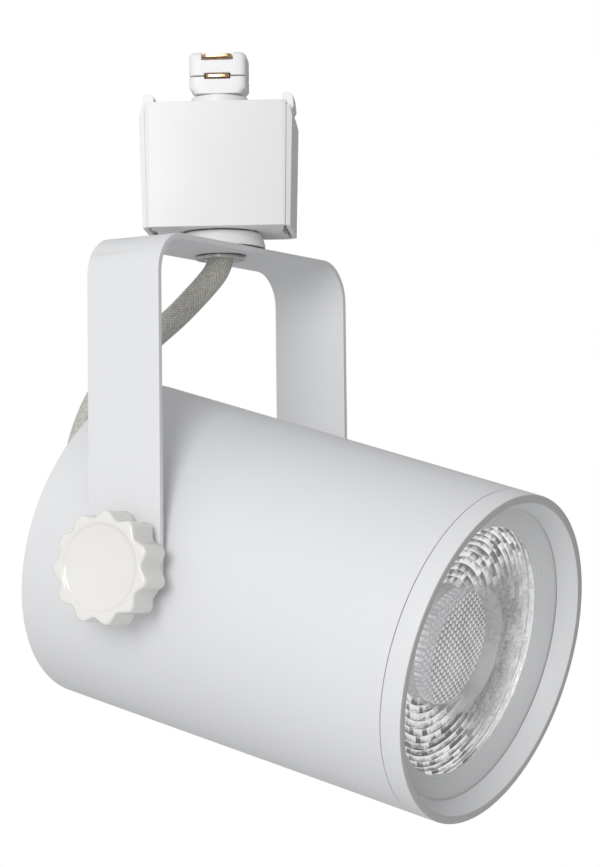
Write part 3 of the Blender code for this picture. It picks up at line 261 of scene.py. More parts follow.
def setSockets(shader, values):
    for name, value in values.items():
        shader.inputs[name].default_value = value


# finishes: one dictionary for each, and what is the same all over goes straight on the shader
plainSkin = {"grain": 0.3 * mm, "cloud": 10 * mm, "cloudTone": 0.02, "roughness": 0.45,
             "spread": 0.1, "bump": 0.1, "depth": 0.02 * mm, "shader": {}}
powderSkin = {"colour": (0.77, 0.775, 0.785, 1), "grain": 0.35 * mm, "cloud": 40 * mm,
              "cloudTone": 0.015, "roughness": 0.5, "spread": 0.16, "bump": 0.22,
              "depth": 0.03 * mm, "shader": {"IOR": 1.45}}
coatLooks = {
    "powder_coat": {**powderSkin, "edgeColour": (0.60, 0.585, 0.57, 1), "edge": 0.5},
    "powder_shell": powderSkin,
    "powder_lip_painted_shade": {**powderSkin, "colour": (0.56, 0.56, 0.555, 1)},  # painted shade: the turned lip is darker because it faces the dark side of the studio
    "adapter_plastic": {"colour": (0.88, 0.88, 0.885, 1), "grain": 0.5 * mm, "cloud": 18 * mm,
                        "cloudTone": 0.012, "roughness": 0.42, "spread": 0.08, "bump": 0.08,
                        "shader": {"IOR": 1.46}},
    "collar_plastic": {"colour": (0.86, 0.86, 0.86, 1), "grain": 1.2 * mm, "cloud": 12 * mm,
                       "cloudTone": 0.01, "roughness": 0.16, "spread": 0.05, "bump": 0.03,
                       "shader": {"IOR": 1.5}},
    "knob_plastic": {"colour": (0.83, 0.815, 0.785, 1), "grain": 1.4 * mm, "cloudTone": 0.012,
                     "roughness": 0.2, "spread": 0.06, "bump": 0.03,
                     "shader": {"IOR": 1.5, "Coat Weight": 0.25, "Coat Roughness": 0.08}},
    "holder_plastic": {"colour": (0.82, 0.82, 0.81, 1)},
    "rubber": {"colour": (0.72, 0.72, 0.70, 1), "grain": 0.25 * mm, "cloud": 6 * mm,
               "cloudTone": 0.03, "roughness": 0.62, "spread": 0.12, "bump": 0.15},
    "black_plastic": {"colour": (0.035, 0.035, 0.037, 1), "cloud": 8 * mm, "cloudTone": 0.1,
                      "spread": 0.12},
    "ceramic": {"colour": (0.83, 0.82, 0.79, 1), "grain": 0.2 * mm, "cloud": 5 * mm,
                "cloudTone": 0.03, "roughness": 0.5, "spread": 0.15},
    "board_green": {"colour": (0.045, 0.21, 0.09, 1), "grain": 0.8 * mm, "cloud": 9 * mm,
                    "cloudTone": 0.12, "roughness": 0.32, "spread": 0.15, "bump": 0.12,
                    "depth": 0.03 * mm},
    "phosphor": {"colour": (0.86, 0.68, 0.2, 1), "grain": 0.15 * mm, "cloud": 4 * mm,
                 "cloudTone": 0.05, "roughness": 0.35, "depth": 0.01 * mm,
                 "shader": {"Coat Weight": 0.5, "Coat Roughness": 0.1}},
}
metalLooks = {
    "brass": {"bright": (0.86, 0.60, 0.33, 1), "dull": (0.60, 0.40, 0.22, 1), "patch": 2.0 * mm,
              "roughness": 0.2, "spread": 0.12, "bump": 0.1, "depth": 0.02 * mm},
    "steel": {"bright": (0.62, 0.62, 0.62, 1), "dull": (0.50, 0.50, 0.49, 1), "patch": 2.5 * mm,
              "roughness": 0.26, "spread": 0.14, "bump": 0.08, "depth": 0.02 * mm},
    "cast_aluminium": {"bright": (0.64, 0.65, 0.66, 1), "dull": (0.52, 0.53, 0.54, 1), "patch": 1.2 * mm,
                       "roughness": 0.42, "spread": 0.2, "bump": 0.25, "depth": 0.05 * mm},
}


def makeCoat(name, look):
    material, tree, shader, coords = startMaterial(name)
    grain = placeGroup(tree, coatGrain, {
        "Vector": coords, "Colour": look["colour"], "Grain Size": look["grain"],
        "Cloud Size": look["cloud"], "Cloud Tone": look["cloudTone"],
        "Roughness": look["roughness"], "Roughness Spread": look["spread"]})
    colour = grain["Colour"]
    if "edge" in look:
        colour = placeGroup(tree, edgeTone, {"Colour": colour, "Edge Colour": look["edgeColour"],
                                             "Strength": look["edge"]})["Colour"]
    tree.links.new(colour, shader.inputs["Base Color"])
    tree.links.new(grain["Roughness"], shader.inputs["Roughness"])
    bumpInto(tree, shader, grain["Height"], look["bump"], look["depth"])
    setSockets(shader, look["shader"])
    return material


def makeMetal(name, look):
    material, tree, shader, coords = startMaterial(name)
    tone = placeGroup(tree, metalTone, {
        "Vector": coords, "Bright": look["bright"], "Dull": look["dull"],
        "Patch Size": look["patch"], "Roughness": look["roughness"],
        "Roughness Spread": look["spread"]})
    tree.links.new(tone["Colour"], shader.inputs["Base Color"])
    tree.links.new(tone["Roughness"], shader.inputs["Roughness"])
    bumpInto(tree, shader, tone["Height"], look["bump"], look["depth"])
    setSockets(shader, {"Metallic": 1.0})
    return material


finishes = {name: makeCoat(name, {**plainSkin, **look}) for name, look in coatLooks.items()}
finishes.update({name: makeMetal(name, look) for name, look in metalLooks.items()})


# the grey ring round the optic: satin paint over fine turned lines
ringLook = {"light": (0.80, 0.805, 0.81, 1), "dark": (0.68, 0.685, 0.69, 1), "pitch": 0.28 * mm,
            "wander": 0.15, "roughness": (0.34, 0.46), "bump": 0.25, "depth": 0.03 * mm}


def makeSatinGrey(look):
    material, tree, shader, coords = startMaterial("satin_grey")
    across = readUv(tree, "turnedUv")["X"]
    lines = placeGroup(tree, turnedLines, {"Vector": coords, "Across": across,
                                           "Line Pitch": look["pitch"], "Wander": look["wander"]})
    share = fitRange(tree, lines["Tone"], 0.3, 0.7, 0.0, 1.0)
    tree.links.new(mixColours(tree, share, look["light"], look["dark"]),
                   shader.inputs["Base Color"])
    rough = fitRange(tree, lines["Tone"], 0.3, 0.7, *look["roughness"])
    tree.links.new(rough, shader.inputs["Roughness"])
    bumpInto(tree, shader, lines["Height"], look["bump"], look["depth"])
    return material


finishes["satin_grey"] = makeSatinGrey(ringLook)

# clear moulded acrylic
acrylicLook = {"tint": (0.97, 0.98, 0.985, 1), "roughness": (0.015, 0.05), "hazeScale": 180.0,
               "IOR": 1.49}


def makeAcrylic(look):
    material, tree, shader, coords = startMaterial("clear_optic")
    haze = noise(tree, coords, look["hazeScale"], 3.0)
    rough = fitRange(tree, haze, 0.35, 0.7, *look["roughness"])
    tree.links.new(rough, shader.inputs["Roughness"])
    setSockets(shader, {"Base Color": look["tint"], "Transmission Weight": 1.0,
                        "IOR": look["IOR"]})
    return material


finishes["clear_optic"] = makeAcrylic(acrylicLook)

# braided glass-fibre sleeve: the same over-and-under pattern as the mesh, read from its UV map
# high is the strand tops, low a painted shade in the braid's crevices
sleeveLook = {"high": (0.82, 0.80, 0.74, 1), "low": (0.27, 0.255, 0.225, 1), "roughness": 0.5,
              "sheen": 0.4, "bump": 0.5, "depth": 0.08 * mm, "filaments": 5.0,
              "speckleScale": 1400.0}
sleeveWeave = {"strandsAround": 24, "cellLength": 0.85 * mm, "relief": 0.09 * mm}


def buildBraid():
    tree, entry, leave = startGroup(
        "braid",
        [("Around", "Float", 0.0), ("Along", "Float", 0.0), ("Filaments", "Float", 5.0)],
        [("Height", "Float"), ("Thread", "Float")])
    first = doMath(tree, "ADD", entry["Around"], entry["Along"])
    second = doMath(tree, "SUBTRACT", entry["Around"], entry["Along"])
    floors = doMath(tree, "ADD", doMath(tree, "FLOOR", first), doMath(tree, "FLOOR", second))
    odd = doMath(tree, "FLOORED_MODULO", floors, 2.0)
    position = mixValues(tree, odd, first, second)
    inside = doMath(tree, "MULTIPLY", doMath(tree, "FRACT", position), 2.0)
    inside = doMath(tree, "SUBTRACT", inside, 1.0)
    crown = doMath(tree, "SUBTRACT", 1.0, doMath(tree, "MULTIPLY", inside, inside))
    tree.links.new(crown, leave["Height"])
    turns = doMath(tree, "MULTIPLY", position, entry["Filaments"])
    threads = doMath(tree, "SINE", doMath(tree, "MULTIPLY", turns, math.tau))
    tree.links.new(fitRange(tree, threads, -1.0, 1.0, 0.0, 1.0), leave["Thread"])
    return tree


def makeSleeve(look):
    material, tree, shader, coords = startMaterial("sleeve")
    parts = readUv(tree, "sleeveUv")
    braid = placeGroup(tree, buildBraid(), {"Around": parts["X"], "Along": parts["Y"],
                                            "Filaments": look["filaments"]})
    speckle = noise(tree, coords, look["speckleScale"])
    # the colour falls to the low tone in the dips between strands and between filaments: painted shade
    # in the braid's crevices
    share = doMath(tree, "MULTIPLY", braid["Height"], fitRange(tree, speckle, 0.3, 0.7, 0.55, 1.15))
    thread = braid["Thread"]
    share = doMath(tree, "MULTIPLY", share, fitRange(tree, thread, 0.0, 1.0, 0.8, 1.0))
    tree.links.new(mixColours(tree, share, look["low"], look["high"]), shader.inputs["Base Color"])
    rough = fitRange(tree, thread, 0.0, 1.0, look["roughness"] + 0.15, look["roughness"])
    tree.links.new(rough, shader.inputs["Roughness"])
    height = doMath(tree, "ADD", braid["Height"], doMath(tree, "MULTIPLY", thread, 0.25))
    bumpInto(tree, shader, height, look["bump"], look["depth"])
    setSockets(shader, {"Sheen Weight": look["sheen"], "Sheen Roughness": 0.4})
    return material


finishes["sleeve"] = makeSleeve(sleeveLook)
print("finishes ready:", len(finishes))


# mesh helpers
creaseAngle = 35  # degrees, above which an edge stays sharp


def objectFrom(name, bm):
    mesh = bpy.data.meshes.new(name)
    bm.to_mesh(mesh)
    bm.free()
    made = bpy.data.objects.new(name, mesh)
    bpy.context.scene.collection.objects.link(made)
    return made


def addPiece(name, bm, place, node, sharpAngle=creaseAngle):
    bmesh.ops.recalc_face_normals(bm, faces=bm.faces)
    piece = objectFrom(name, bm)
    piece.data.shade_smooth()
    piece.data.set_sharp_from_angle(angle=math.radians(sharpAngle))
    piece.data.transform(place)
    piece.data.materials.append(finishes[slotOf[node]])
    return piece


def standFor(piece, *nodes):
    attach(piece, bodyOf[nodes[0]])
    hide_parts(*nodes)
    return piece


def roundEdges(piece, width, segments=3, angle=32):
    rounding = piece.modifiers.new("roundEdges", "BEVEL")
    rounding.width = width
    rounding.segments = segments
    rounding.limit_method = "ANGLE"
    rounding.angle_limit = math.radians(angle)
    rounding.harden_normals = True


def filleted(outline, steps=4):
    # a closed outline whose corners may give a fillet radius as a third number
    rounded = []
    count = len(outline)
    for i, point in enumerate(outline):
        corner = Vector(point[:2])
        if len(point) < 3:
            rounded.append(corner)
            continue
        before = Vector(outline[i - 1][:2]) - corner
        after = Vector(outline[(i + 1) % count][:2]) - corner
        half = before.angle(after) / 2
        back = min(point[2] / math.tan(half), 0.45 * before.length, 0.45 * after.length)
        radius = back * math.tan(half)
        inward = (before.normalized() + after.normalized()).normalized()
        middle = corner + inward * radius / math.sin(half)
        start = corner + before.normalized() * back - middle
        end = corner + after.normalized() * back - middle
        turn = start.angle_signed(end)
        for step in range(steps + 1):
            angle = -turn * step / steps
            rounded.append(middle + Matrix.Rotation(angle, 2) @ start)
    return rounded


def circle(radius, height, steps):
    angles = [math.tau * k / steps for k in range(steps)]
    return [(radius * math.cos(angle), radius * math.sin(angle), height) for angle in angles]


def bridge(bm, low, high):
    # one band of faces between two rings
    count = len(low)
    return [bm.faces.new((low[k], low[(k + 1) % count], high[(k + 1) % count], high[k]))
            for k in range(count)]


def turnedMesh(outline, steps):
    # an outline of (radius, station along local Z), swept round Z
    bm = bmesh.new()
    rings = []
    for radius, station in outline:
        if radius < 1e-7:
            rings.append([bm.verts.new((0, 0, station))] * steps)
        else:
            rings.append([bm.verts.new(point) for point in circle(radius, station, steps)])
    for low, high in zip(rings, rings[1:] + rings[:1]):
        for k in range(steps):
            j = (k + 1) % steps
            corners = list(dict.fromkeys((low[k], low[j], high[j], high[k])))
            if len(corners) > 2:
                bm.faces.new(corners)
    return bm


def turnedPiece(name, node, outline, place, steps=128):
    return addPiece(name, turnedMesh(filleted(outline), steps), place, node)


def loftedMesh(rings):
    bm = bmesh.new()
    loops = [[bm.verts.new(point) for point in ring] for ring in rings]
    for low, high in zip(loops, loops[1:]):
        bridge(bm, low, high)
    bm.faces.new(loops[0])
    bm.faces.new(loops[-1])
    return bm


def carve(piece, *cutters):
    # cuts the holes for good, so that no cutter is left in the scene
    for cutter in cutters:
        hole = piece.modifiers.new("hole", "BOOLEAN")
        hole.solver = "EXACT"
        hole.object = cutter
    bpy.context.view_layer.update()
    cutPiece = piece.evaluated_get(bpy.context.evaluated_depsgraph_get())
    cutMesh = bpy.data.meshes.new_from_object(cutPiece)
    piece.modifiers.clear()
    piece.data = cutMesh
    for cutter in cutters:
        bpy.data.objects.remove(cutter)


def holeCutter(radius, low, high, place, steps=48):
    bm = turnedMesh([(0, low), (radius, low), (radius, high), (0, high)], steps)
    bmesh.ops.recalc_face_normals(bm, faces=bm.faces)
    cutter = objectFrom("holeCutter", bm)
    cutter.matrix_world = place
    return cutter


def smoothRound(piece, place, radius):
    # normals of a true cylinder, so that a hole leaves no crease in the shading round it
    mesh = piece.data
    mesh.shade_smooth()
    mesh.set_sharp_from_angle(angle=math.radians(creaseAngle))
    middle, axis = place.translation, place.col[2].xyz
    normals = [corner.vector.copy() for corner in mesh.corner_normals]
    for polygon in mesh.polygons:
        for index in polygon.loop_indices:
            offset = mesh.vertices[mesh.loops[index].vertex_index].co - middle
            outward = offset - axis * offset.dot(axis)
            onSkin = abs(outward.length - radius) < 0.02 * mm
            if onSkin and outward.normalized().dot(polygon.normal) > 0.98:
                normals[index] = outward.normalized()
    mesh.normals_split_custom_set(normals)


# cable: braided sleeve from the swivel tube round to the inlet in the rear cover
cableRoute = [(0.0, 0.079), (0.0, 0.076), (-0.0002, 0.0733), (-0.0016, 0.0706), (-0.0044, 0.0678),
              (-0.0083, 0.0645), (-0.0128, 0.0610), (-0.0176, 0.0578), (-0.0246, 0.0532),
              (-0.0316, 0.0476), (-0.0370, 0.0408), (-0.0406, 0.0333), (-0.0418, 0.0282),
              (-0.0406, 0.0232), (-0.0373, 0.0194), (-0.0330, 0.0173), (-0.0260, 0.0154),
              (-0.0216, 0.0141)]  # forwards and up from the pivot, in the yoke's middle plane
cable = {"radius": 2.95 * mm, "ringSpacing": 0.21 * mm, "stepsAround": 96, "flatten": 0.05,
         "samples": 20, "mouth": 0.0734, "bendStart": (-0.003, 0.068), "bendEnd": (-0.012, 0.026)}


def smoothRoute(points, spacing, samples):
    # evenly spaced points on a Catmull-Rom curve through the chosen ones
    ends = [2 * points[0] - points[1], *points, 2 * points[-1] - points[-2]]
    fine = []
    for a, b, c, d in zip(ends, ends[1:], ends[2:], ends[3:]):
        for t in (step / samples for step in range(samples)):
            fine.append(0.5 * (2 * b + (c - a) * t + (2 * a - 5 * b + 4 * c - d) * t * t
                               + (3 * b - a - 3 * c + d) * t ** 3))
    fine.append(points[-1])
    travelled = [0.0]
    for a, b in zip(fine, fine[1:]):
        travelled.append(travelled[-1] + (b - a).length)
    count = round(travelled[-1] / spacing) + 1
    even = []
    k = 0
    for i in range(count):
        wanted = travelled[-1] * i / (count - 1)
        while k < len(fine) - 2 and travelled[k + 1] < wanted:
            k += 1
        share = (wanted - travelled[k]) / (travelled[k + 1] - travelled[k])
        even.append(fine[k].lerp(fine[k + 1], share))
    return even, travelled[-1]


def braidHeight(around, along):
    first, second = around + along, around - along
    onTop = second if (math.floor(first) + math.floor(second)) % 2 else first
    inside = 2 * (onTop - math.floor(onTop)) - 1
    return 1 - inside * inside


def makeCable(route, size, weave):
    middles, length = smoothRoute([Vector((x, 0, z)) for x, z in route], size["ringSpacing"],
                                  size["samples"])
    side = Vector((0, 1, 0))
    bm = bmesh.new()
    uvLayer = bm.loops.layers.uv.new("sleeveUv")
    steps = size["stepsAround"]
    spacing = length / (len(middles) - 1)
    rings = []
    for i, middle in enumerate(middles):
        ahead = (middles[min(i + 1, len(middles) - 1)] - middles[max(i - 1, 0)]).normalized()
        up = side.cross(ahead)
        ring = []
        for k in range(steps):
            angle = math.tau * k / steps
            lift = weave["relief"] * braidHeight(weave["strandsAround"] * k / steps,
                                                 i * spacing / weave["cellLength"])
            radius = size["radius"] + lift
            point = (middle + side * math.cos(angle) * radius * (1 + size["flatten"])
                     + up * math.sin(angle) * radius * (1 - size["flatten"]))
            ring.append(bm.verts.new(point))
        rings.append(ring)
    for i, (low, high) in enumerate(zip(rings, rings[1:])):
        for k, face in enumerate(bridge(bm, low, high)):
            for loop, a, b in zip(face.loops, (k, k + 1, k + 1, k), (i, i, i + 1, i + 1)):
                loop[uvLayer].uv = (weave["strandsAround"] * a / steps,
                                    b * spacing / weave["cellLength"])
    bm.faces.new(rings[0])
    bm.faces.new(rings[-1])
    piece = addPiece("cable_sleeve", bm, yokePlace, "lamp_cable", 60)
    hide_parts("lamp_cable")
    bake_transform(piece)
    print("cable:", round(length * 1000, 1), "mm")


makeCable(cableRoute, cable, sleeveWeave)


# yoke: a strip folded over the head, with round ends and the coat built up on its edges
yokeShape = {"bendRadius": 9.65 * mm, "endSteps": 14, "endTurn": 87.0, "bendSteps": 14,
             "edge": 0.42 * mm, "tubeFlange": 0.8 * mm, "clearance": 0.3 * mm,
             "tubeHole": 4.9 * mm, "studHole": 2.8 * mm}


def makeYoke(shape):
    low, high = reach("yoke", yokePlace)
    halfWidth = high.y
    halfStrip = high.x
    drop = high.z
    tubeFoot = reach("swivel_tube", yokePlace)[0].z
    thickness = drop - (tubeFoot + shape["tubeFlange"] + shape["clearance"])
    bendMiddle = shape["bendRadius"] - thickness / 2
    stations = []
    for step in range(shape["endSteps"] + 1):
        angle = math.radians(shape["endTurn"] * (1 - step / shape["endSteps"]))
        stations.append((-halfWidth + thickness / 2, -halfStrip * math.sin(angle), (-1, 0),
                         halfStrip * math.cos(angle)))
    for step in range(shape["bendSteps"] + 1):
        angle = math.radians(180 - 90 * step / shape["bendSteps"])
        out = (math.cos(angle), math.sin(angle))
        stations.append((-(halfWidth - shape["bendRadius"]) + bendMiddle * out[0],
                         drop - shape["bendRadius"] + bendMiddle * out[1], out, halfStrip))
    stations += [(-y, z, (-out[0], out[1]), width) for y, z, out, width in reversed(stations)]
    rings = []
    for y, z, out, width in stations:
        outer = (y + out[0] * thickness / 2, z + out[1] * thickness / 2)
        inner = (y - out[0] * thickness / 2, z - out[1] * thickness / 2)
        rings.append([(-width, *outer), (width, *outer), (width, *inner), (-width, *inner)])
    piece = addPiece("yoke_strip", loftedMesh(rings), yokePlace, "yoke")
    across = yokePlace @ Matrix.Rotation(math.radians(90), 4, "X")
    carve(piece, holeCutter(shape["tubeHole"], drop - 3 * mm, drop + mm, yokePlace),
          holeCutter(shape["studHole"], -halfWidth - mm, halfWidth + mm, across))
    piece.data.set_sharp_from_angle(angle=math.radians(creaseAngle))
    roundEdges(piece, shape["edge"], 4, 50)
    standFor(piece, "yoke")


makeYoke(yokeShape)
print("yoke ready")

# barrel, bezel and ring: turned about the beam, with fine rounded edges
shell = {"wall": 1.6 * mm, "edge": 0.3 * mm, "seam": 0.08 * mm, "fit": 0.3 * mm,
         "studHole": 2.8 * mm, "steps": 192}
bezelShape = {"lip": 1.9 * mm, "lipEdge": 0.2 * mm, "coneFoot": 33.7 * mm, "skirt": 6.0 * mm,
              "skirtWall": 1.5 * mm, "depth": 4.2 * mm}
ringShape = {"inner": 28.8 * mm, "outer": 34.3 * mm, "foot": 0.12 * mm, "lap": 0.26 * mm}


def makeBarrel():
    low, high = reach("barrel", beamPlace)
    radius, back, front = high.y, low.z, high.z
    bore = radius - shell["wall"]
    edge = shell["edge"]
    bands = [(radius, back + (front - back) * share) for share in (0.1, 0.25, 0.36, 0.6, 0.8, 0.95)]
    outline = [(radius, back, edge), *bands, (radius, front, edge * 0.4), (bore, front),
               (bore, back, edge)]
    piece = turnedPiece("barrel_shell", "barrel", outline, beamPlace, shell["steps"])
    carve(piece, holeCutter(shell["studHole"], -radius - mm, radius + mm,
                            beamPlace @ Matrix.Rotation(math.radians(90), 4, "X")))
    piece.data.materials[0] = finishes["powder_shell"]
    smoothRound(piece, beamPlace, radius)
    standFor(piece, "barrel")


def makeBezel():
    low, high = reach("bezel", beamPlace)
    radius, front = high.y, high.z
    back = low.z + bezelShape["skirt"]
    skirtOuter = radius - shell["wall"] - shell["fit"]
    skirtInner = skirtOuter - bezelShape["skirtWall"]
    ringFront = front - bezelShape["depth"]
    outline = [(radius, back - shell["seam"], shell["edge"] * 0.4), (radius, front, 0.3 * mm),
               (radius - bezelShape["lip"], front, bezelShape["lipEdge"]),
               (bezelShape["coneFoot"], ringFront + shell["fit"]),
               (bezelShape["coneFoot"], ringFront),
               (skirtInner, ringFront), (skirtInner, low.z), (skirtOuter, low.z, 0.2 * mm),
               (skirtOuter, back - shell["seam"])]
    piece = turnedPiece("bezel_ring", "bezel", outline, beamPlace, shell["steps"])
    piece.data.materials[0] = finishes["powder_shell"]
    piece.data.materials.append(finishes["powder_lip_painted_shade"])
    beam = beamPlace.col[2].xyz
    # the faces of the front lip that point along the beam get the painted shade
    for polygon in piece.data.polygons:
        outward = (polygon.center - beamPlace.translation).dot(beam) > front - 0.5 * mm
        polygon.material_index = int(outward and polygon.normal.dot(beam) > 0.7)
    standFor(piece, "bezel")


def makeRing():
    low, high = reach("retaining_ring", beamPlace)
    inner, outer = ringShape["inner"], ringShape["outer"]
    back = low.z - ringShape["lap"]
    outline = [(outer, high.z), (bezelShape["coneFoot"], high.z),
               (inner, low.z + ringShape["foot"], 0.06 * mm), (inner, back), (outer, back)]
    piece = turnedPiece("grey_ring", "retaining_ring", outline, beamPlace, shell["steps"])
    turnedUv = piece.data.uv_layers.new(name="turnedUv")
    toBeam = beamPlace.inverted()
    for loop in piece.data.loops:
        point = toBeam @ piece.data.vertices[loop.vertex_index].co
        across = math.hypot(point.x, point.y) + point.z
        turnedUv.data[loop.index].uv = (across, math.atan2(point.y, point.x))
    standFor(piece, "retaining_ring")


makeBarrel()
makeBezel()
makeRing()
print("shells ready")

# optic: facetted flare, domed honeycomb disc and the clear rim between them
opticShape = {"mouth": 31.0 * mm, "neck": 13.4 * mm, "mouthDepth": 0.4 * mm, "neckDepth": 9.0 * mm,
              "belly": 1.0, "rows": 16, "columns": 64, "bulge": 0.14 * mm, "tilt": 0.17 * mm,
              "lean": 2.4, "grid": 4, "wall": 0.8 * mm, "backGap": 0.3 * mm}
discShape = {"radius": 13.5 * mm, "depth": 3.6 * mm, "rise": 0.9 * mm, "pitch": 1.5 * mm,
             "pillow": 0.36 * mm, "thickness": 1.6 * mm, "fineness": 5, "rowShare": 0.866,
             "cellShare": 0.335, "fade": 0.5 * mm}
rimShape = {"inner": 13.5 * mm, "top": 14.3 * mm, "outer": 15.2 * mm, "foot": 7.6 * mm,
            "edge": 0.3 * mm, "taper": 0.9 * mm, "undercut": 0.6 * mm,
            "shoulder": (4.4 * mm, 4.6 * mm)}
faceShape = {"gap": 0.1 * mm, "thickness": 0.4 * mm}
# bright and dull are the ends of the painted reflections and painted shade on the scales
facetLook = {"bright": (0.96, 0.965, 0.97, 1), "dull": (0.22, 0.22, 0.215, 1), "haze": 0.84,
             "lit": (0.97, 0.98, 1.0, 1), "unlit": (0.05, 0.048, 0.045, 1), "paintedGlow": 0.46,
             "roughness": (0.06, 0.3)}  # the glow strength is a painted glow: emission standing in for the light that the clear plastic gathers inside
frostLook = {"colour": (0.88, 0.88, 0.88, 1), "veil": (0.02, 0.07)}
# top and valley are a painted highlight on the pillows and painted shade between them
honeyLook = {"top": (0.93, 0.93, 0.94, 1), "valley": (0.30, 0.29, 0.29, 1), "roughness": (0.1, 0.2),
             "lit": (0.97, 0.97, 1.0, 1), "unlit": (0.10, 0.098, 0.1, 1), "paintedGlow": 0.26}
rimLook = {"colour": (0.90, 0.905, 0.91, 1), "cover": (0.18, 0.42)}


def buildScales():
    # staggered rows of scales with painted reflections: each scale gets its own random tone and a
    # painted gradient from shade to light across it, sharp where the scales stand upright across the
    # optic; on the sides the tone is a hazy painted light on one side and a grainy painted shade, darker
    # deeper in, on the other
    tree, entry, leave = startGroup(
        "scales",
        [("Vector", "Vector", None), ("Around", "Float", 0.0), ("Down", "Float", 0.0),
         ("Columns", "Float", 60.0), ("Rows", "Float", 12.0), ("Painted Haze Tone", "Float", 0.8)],
        [("Tone", "Float"), ("Sharp", "Float")])
    around, down = entry["Around"], entry["Down"]
    row = doMath(tree, "FLOOR", down)
    shift = doMath(tree, "MULTIPLY", doMath(tree, "FLOORED_MODULO", row, 2.0), 0.5)
    along = doMath(tree, "FLOOR", doMath(tree, "ADD", around, shift))
    cell = addNode(tree, "CombineXYZ", {0: along, 1: row}).outputs[0]
    chance = addNode(tree, "TexWhiteNoise", {"Vector": cell}).outputs["Value"]
    stretched = addNode(tree, "CombineXYZ", {0: doMath(tree, "MULTIPLY", around, 0.9),
                                             1: doMath(tree, "MULTIPLY", down, 5.0)}).outputs[0]
    streaks = noise(tree, stretched, 1.0, 3.0)
    lap = doMath(tree, "ADD", doMath(tree, "FRACT", down), doMath(tree, "SUBTRACT", chance, 0.55))
    lap = doMath(tree, "ADD", lap, swing(tree, streaks, 1.6))
    scaleTone = fitRange(tree, lap, 0.05, 0.85, 0.0, 1.0)
    angle = doMath(tree, "MULTIPLY", doMath(tree, "DIVIDE", around, entry["Columns"]), math.tau)
    upright = doMath(tree, "COSINE", angle)
    sharp = fitRange(tree, doMath(tree, "MULTIPLY", upright, upright), 0.3, 0.75, 0.0, 1.0)
    inward = doMath(tree, "DIVIDE", down, entry["Rows"])
    frayed = doMath(tree, "ADD", inward, swing(tree, chance, 0.16))
    grainyPaintedShade = fitRange(tree, frayed, 0.08, 0.5, 0.78, 0.16)
    grainyPaintedShade = doMath(tree, "ADD", grainyPaintedShade, swing(tree, noise(tree, entry["Vector"], 1500.0), 0.5))
    hazyPaintedLight = doMath(tree, "ADD", entry["Painted Haze Tone"], swing(tree, streaks, 0.3))
    shadedSideMask = fitRange(tree, doMath(tree, "SINE", angle), -0.2, 0.5, 0.0, 1.0)
    tone = mixValues(tree, sharp, mixValues(tree, shadedSideMask, hazyPaintedLight, grainyPaintedShade), scaleTone)
    tree.links.new(tone, leave["Tone"])
    tree.links.new(sharp, leave["Sharp"])
    return tree


def lightUp(tree, shader, share, look, dark, bright, metallic, coat):
    # its own colour, and a painted glow: emission that stands in for the light the clear plastic carries
    # inside
    tree.links.new(mixColours(tree, share, look[dark], look[bright]), shader.inputs["Base Color"])
    tree.links.new(mixColours(tree, share, look["unlit"], look["lit"]),
                   shader.inputs["Emission Color"])
    setSockets(shader, {"Metallic": metallic, "Coat Weight": coat, "Coat Roughness": 0.04,
                        "Emission Strength": look["paintedGlow"]})


def makeFacetSilver(look, shape):
    material, tree, shader, coords = startMaterial("optic_facets")
    parts = readUv(tree, "scaleUv")
    scales = placeGroup(tree, buildScales(), {"Vector": coords, "Around": parts["X"],
                                              "Down": parts["Y"], "Columns": shape["columns"],
                                              "Rows": shape["rows"], "Painted Haze Tone": look["haze"]})
    smooth, rough = look["roughness"]
    tree.links.new(fitRange(tree, scales["Sharp"], 0.0, 1.0, rough, smooth),
                   shader.inputs["Roughness"])
    lightUp(tree, shader, scales["Tone"], look, "dull", "bright", 0.2, 0.7)
    return material


def makeHoneycomb(look):
    # painted highlights on the pillow tops, with painted shade in the grey valleys between them
    material, tree, shader, coords = startMaterial("optic_disc")
    patch = noise(tree, coords, 160.0)
    share = doMath(tree, "ADD", readUv(tree, "honeyUv")["X"], swing(tree, patch, 0.5))
    share = fitRange(tree, share, 0.15, 0.95, 0.0, 1.0)
    tree.links.new(fitRange(tree, patch, 0.3, 0.7, *look["roughness"]), shader.inputs["Roughness"])
    lightUp(tree, shader, share, look, "valley", "top", 0.3, 0.8)
    return material


def makeVeil(name, colour, cover):
    # clear acrylic seen edge on or face on: almost clear, with a faint milky haze
    material, tree, shader, coords = startMaterial(name)
    haze = noise(tree, coords, 90.0, 4.0)
    tree.links.new(fitRange(tree, haze, 0.3, 0.7, *cover), shader.inputs["Alpha"])
    setSockets(shader, {"Base Color": colour, "Roughness": 0.04, "IOR": 1.49})
    return material


def opticSurface(shape, share):
    # radius and depth behind the optic's front, from the mouth (0) to the neck (1)
    spread = math.sin((1 - share) * math.pi / 2) ** shape["belly"]
    radius = shape["neck"] + (shape["mouth"] - shape["neck"]) * spread
    return radius, shape["mouthDepth"] + (shape["neckDepth"] - shape["mouthDepth"]) * share


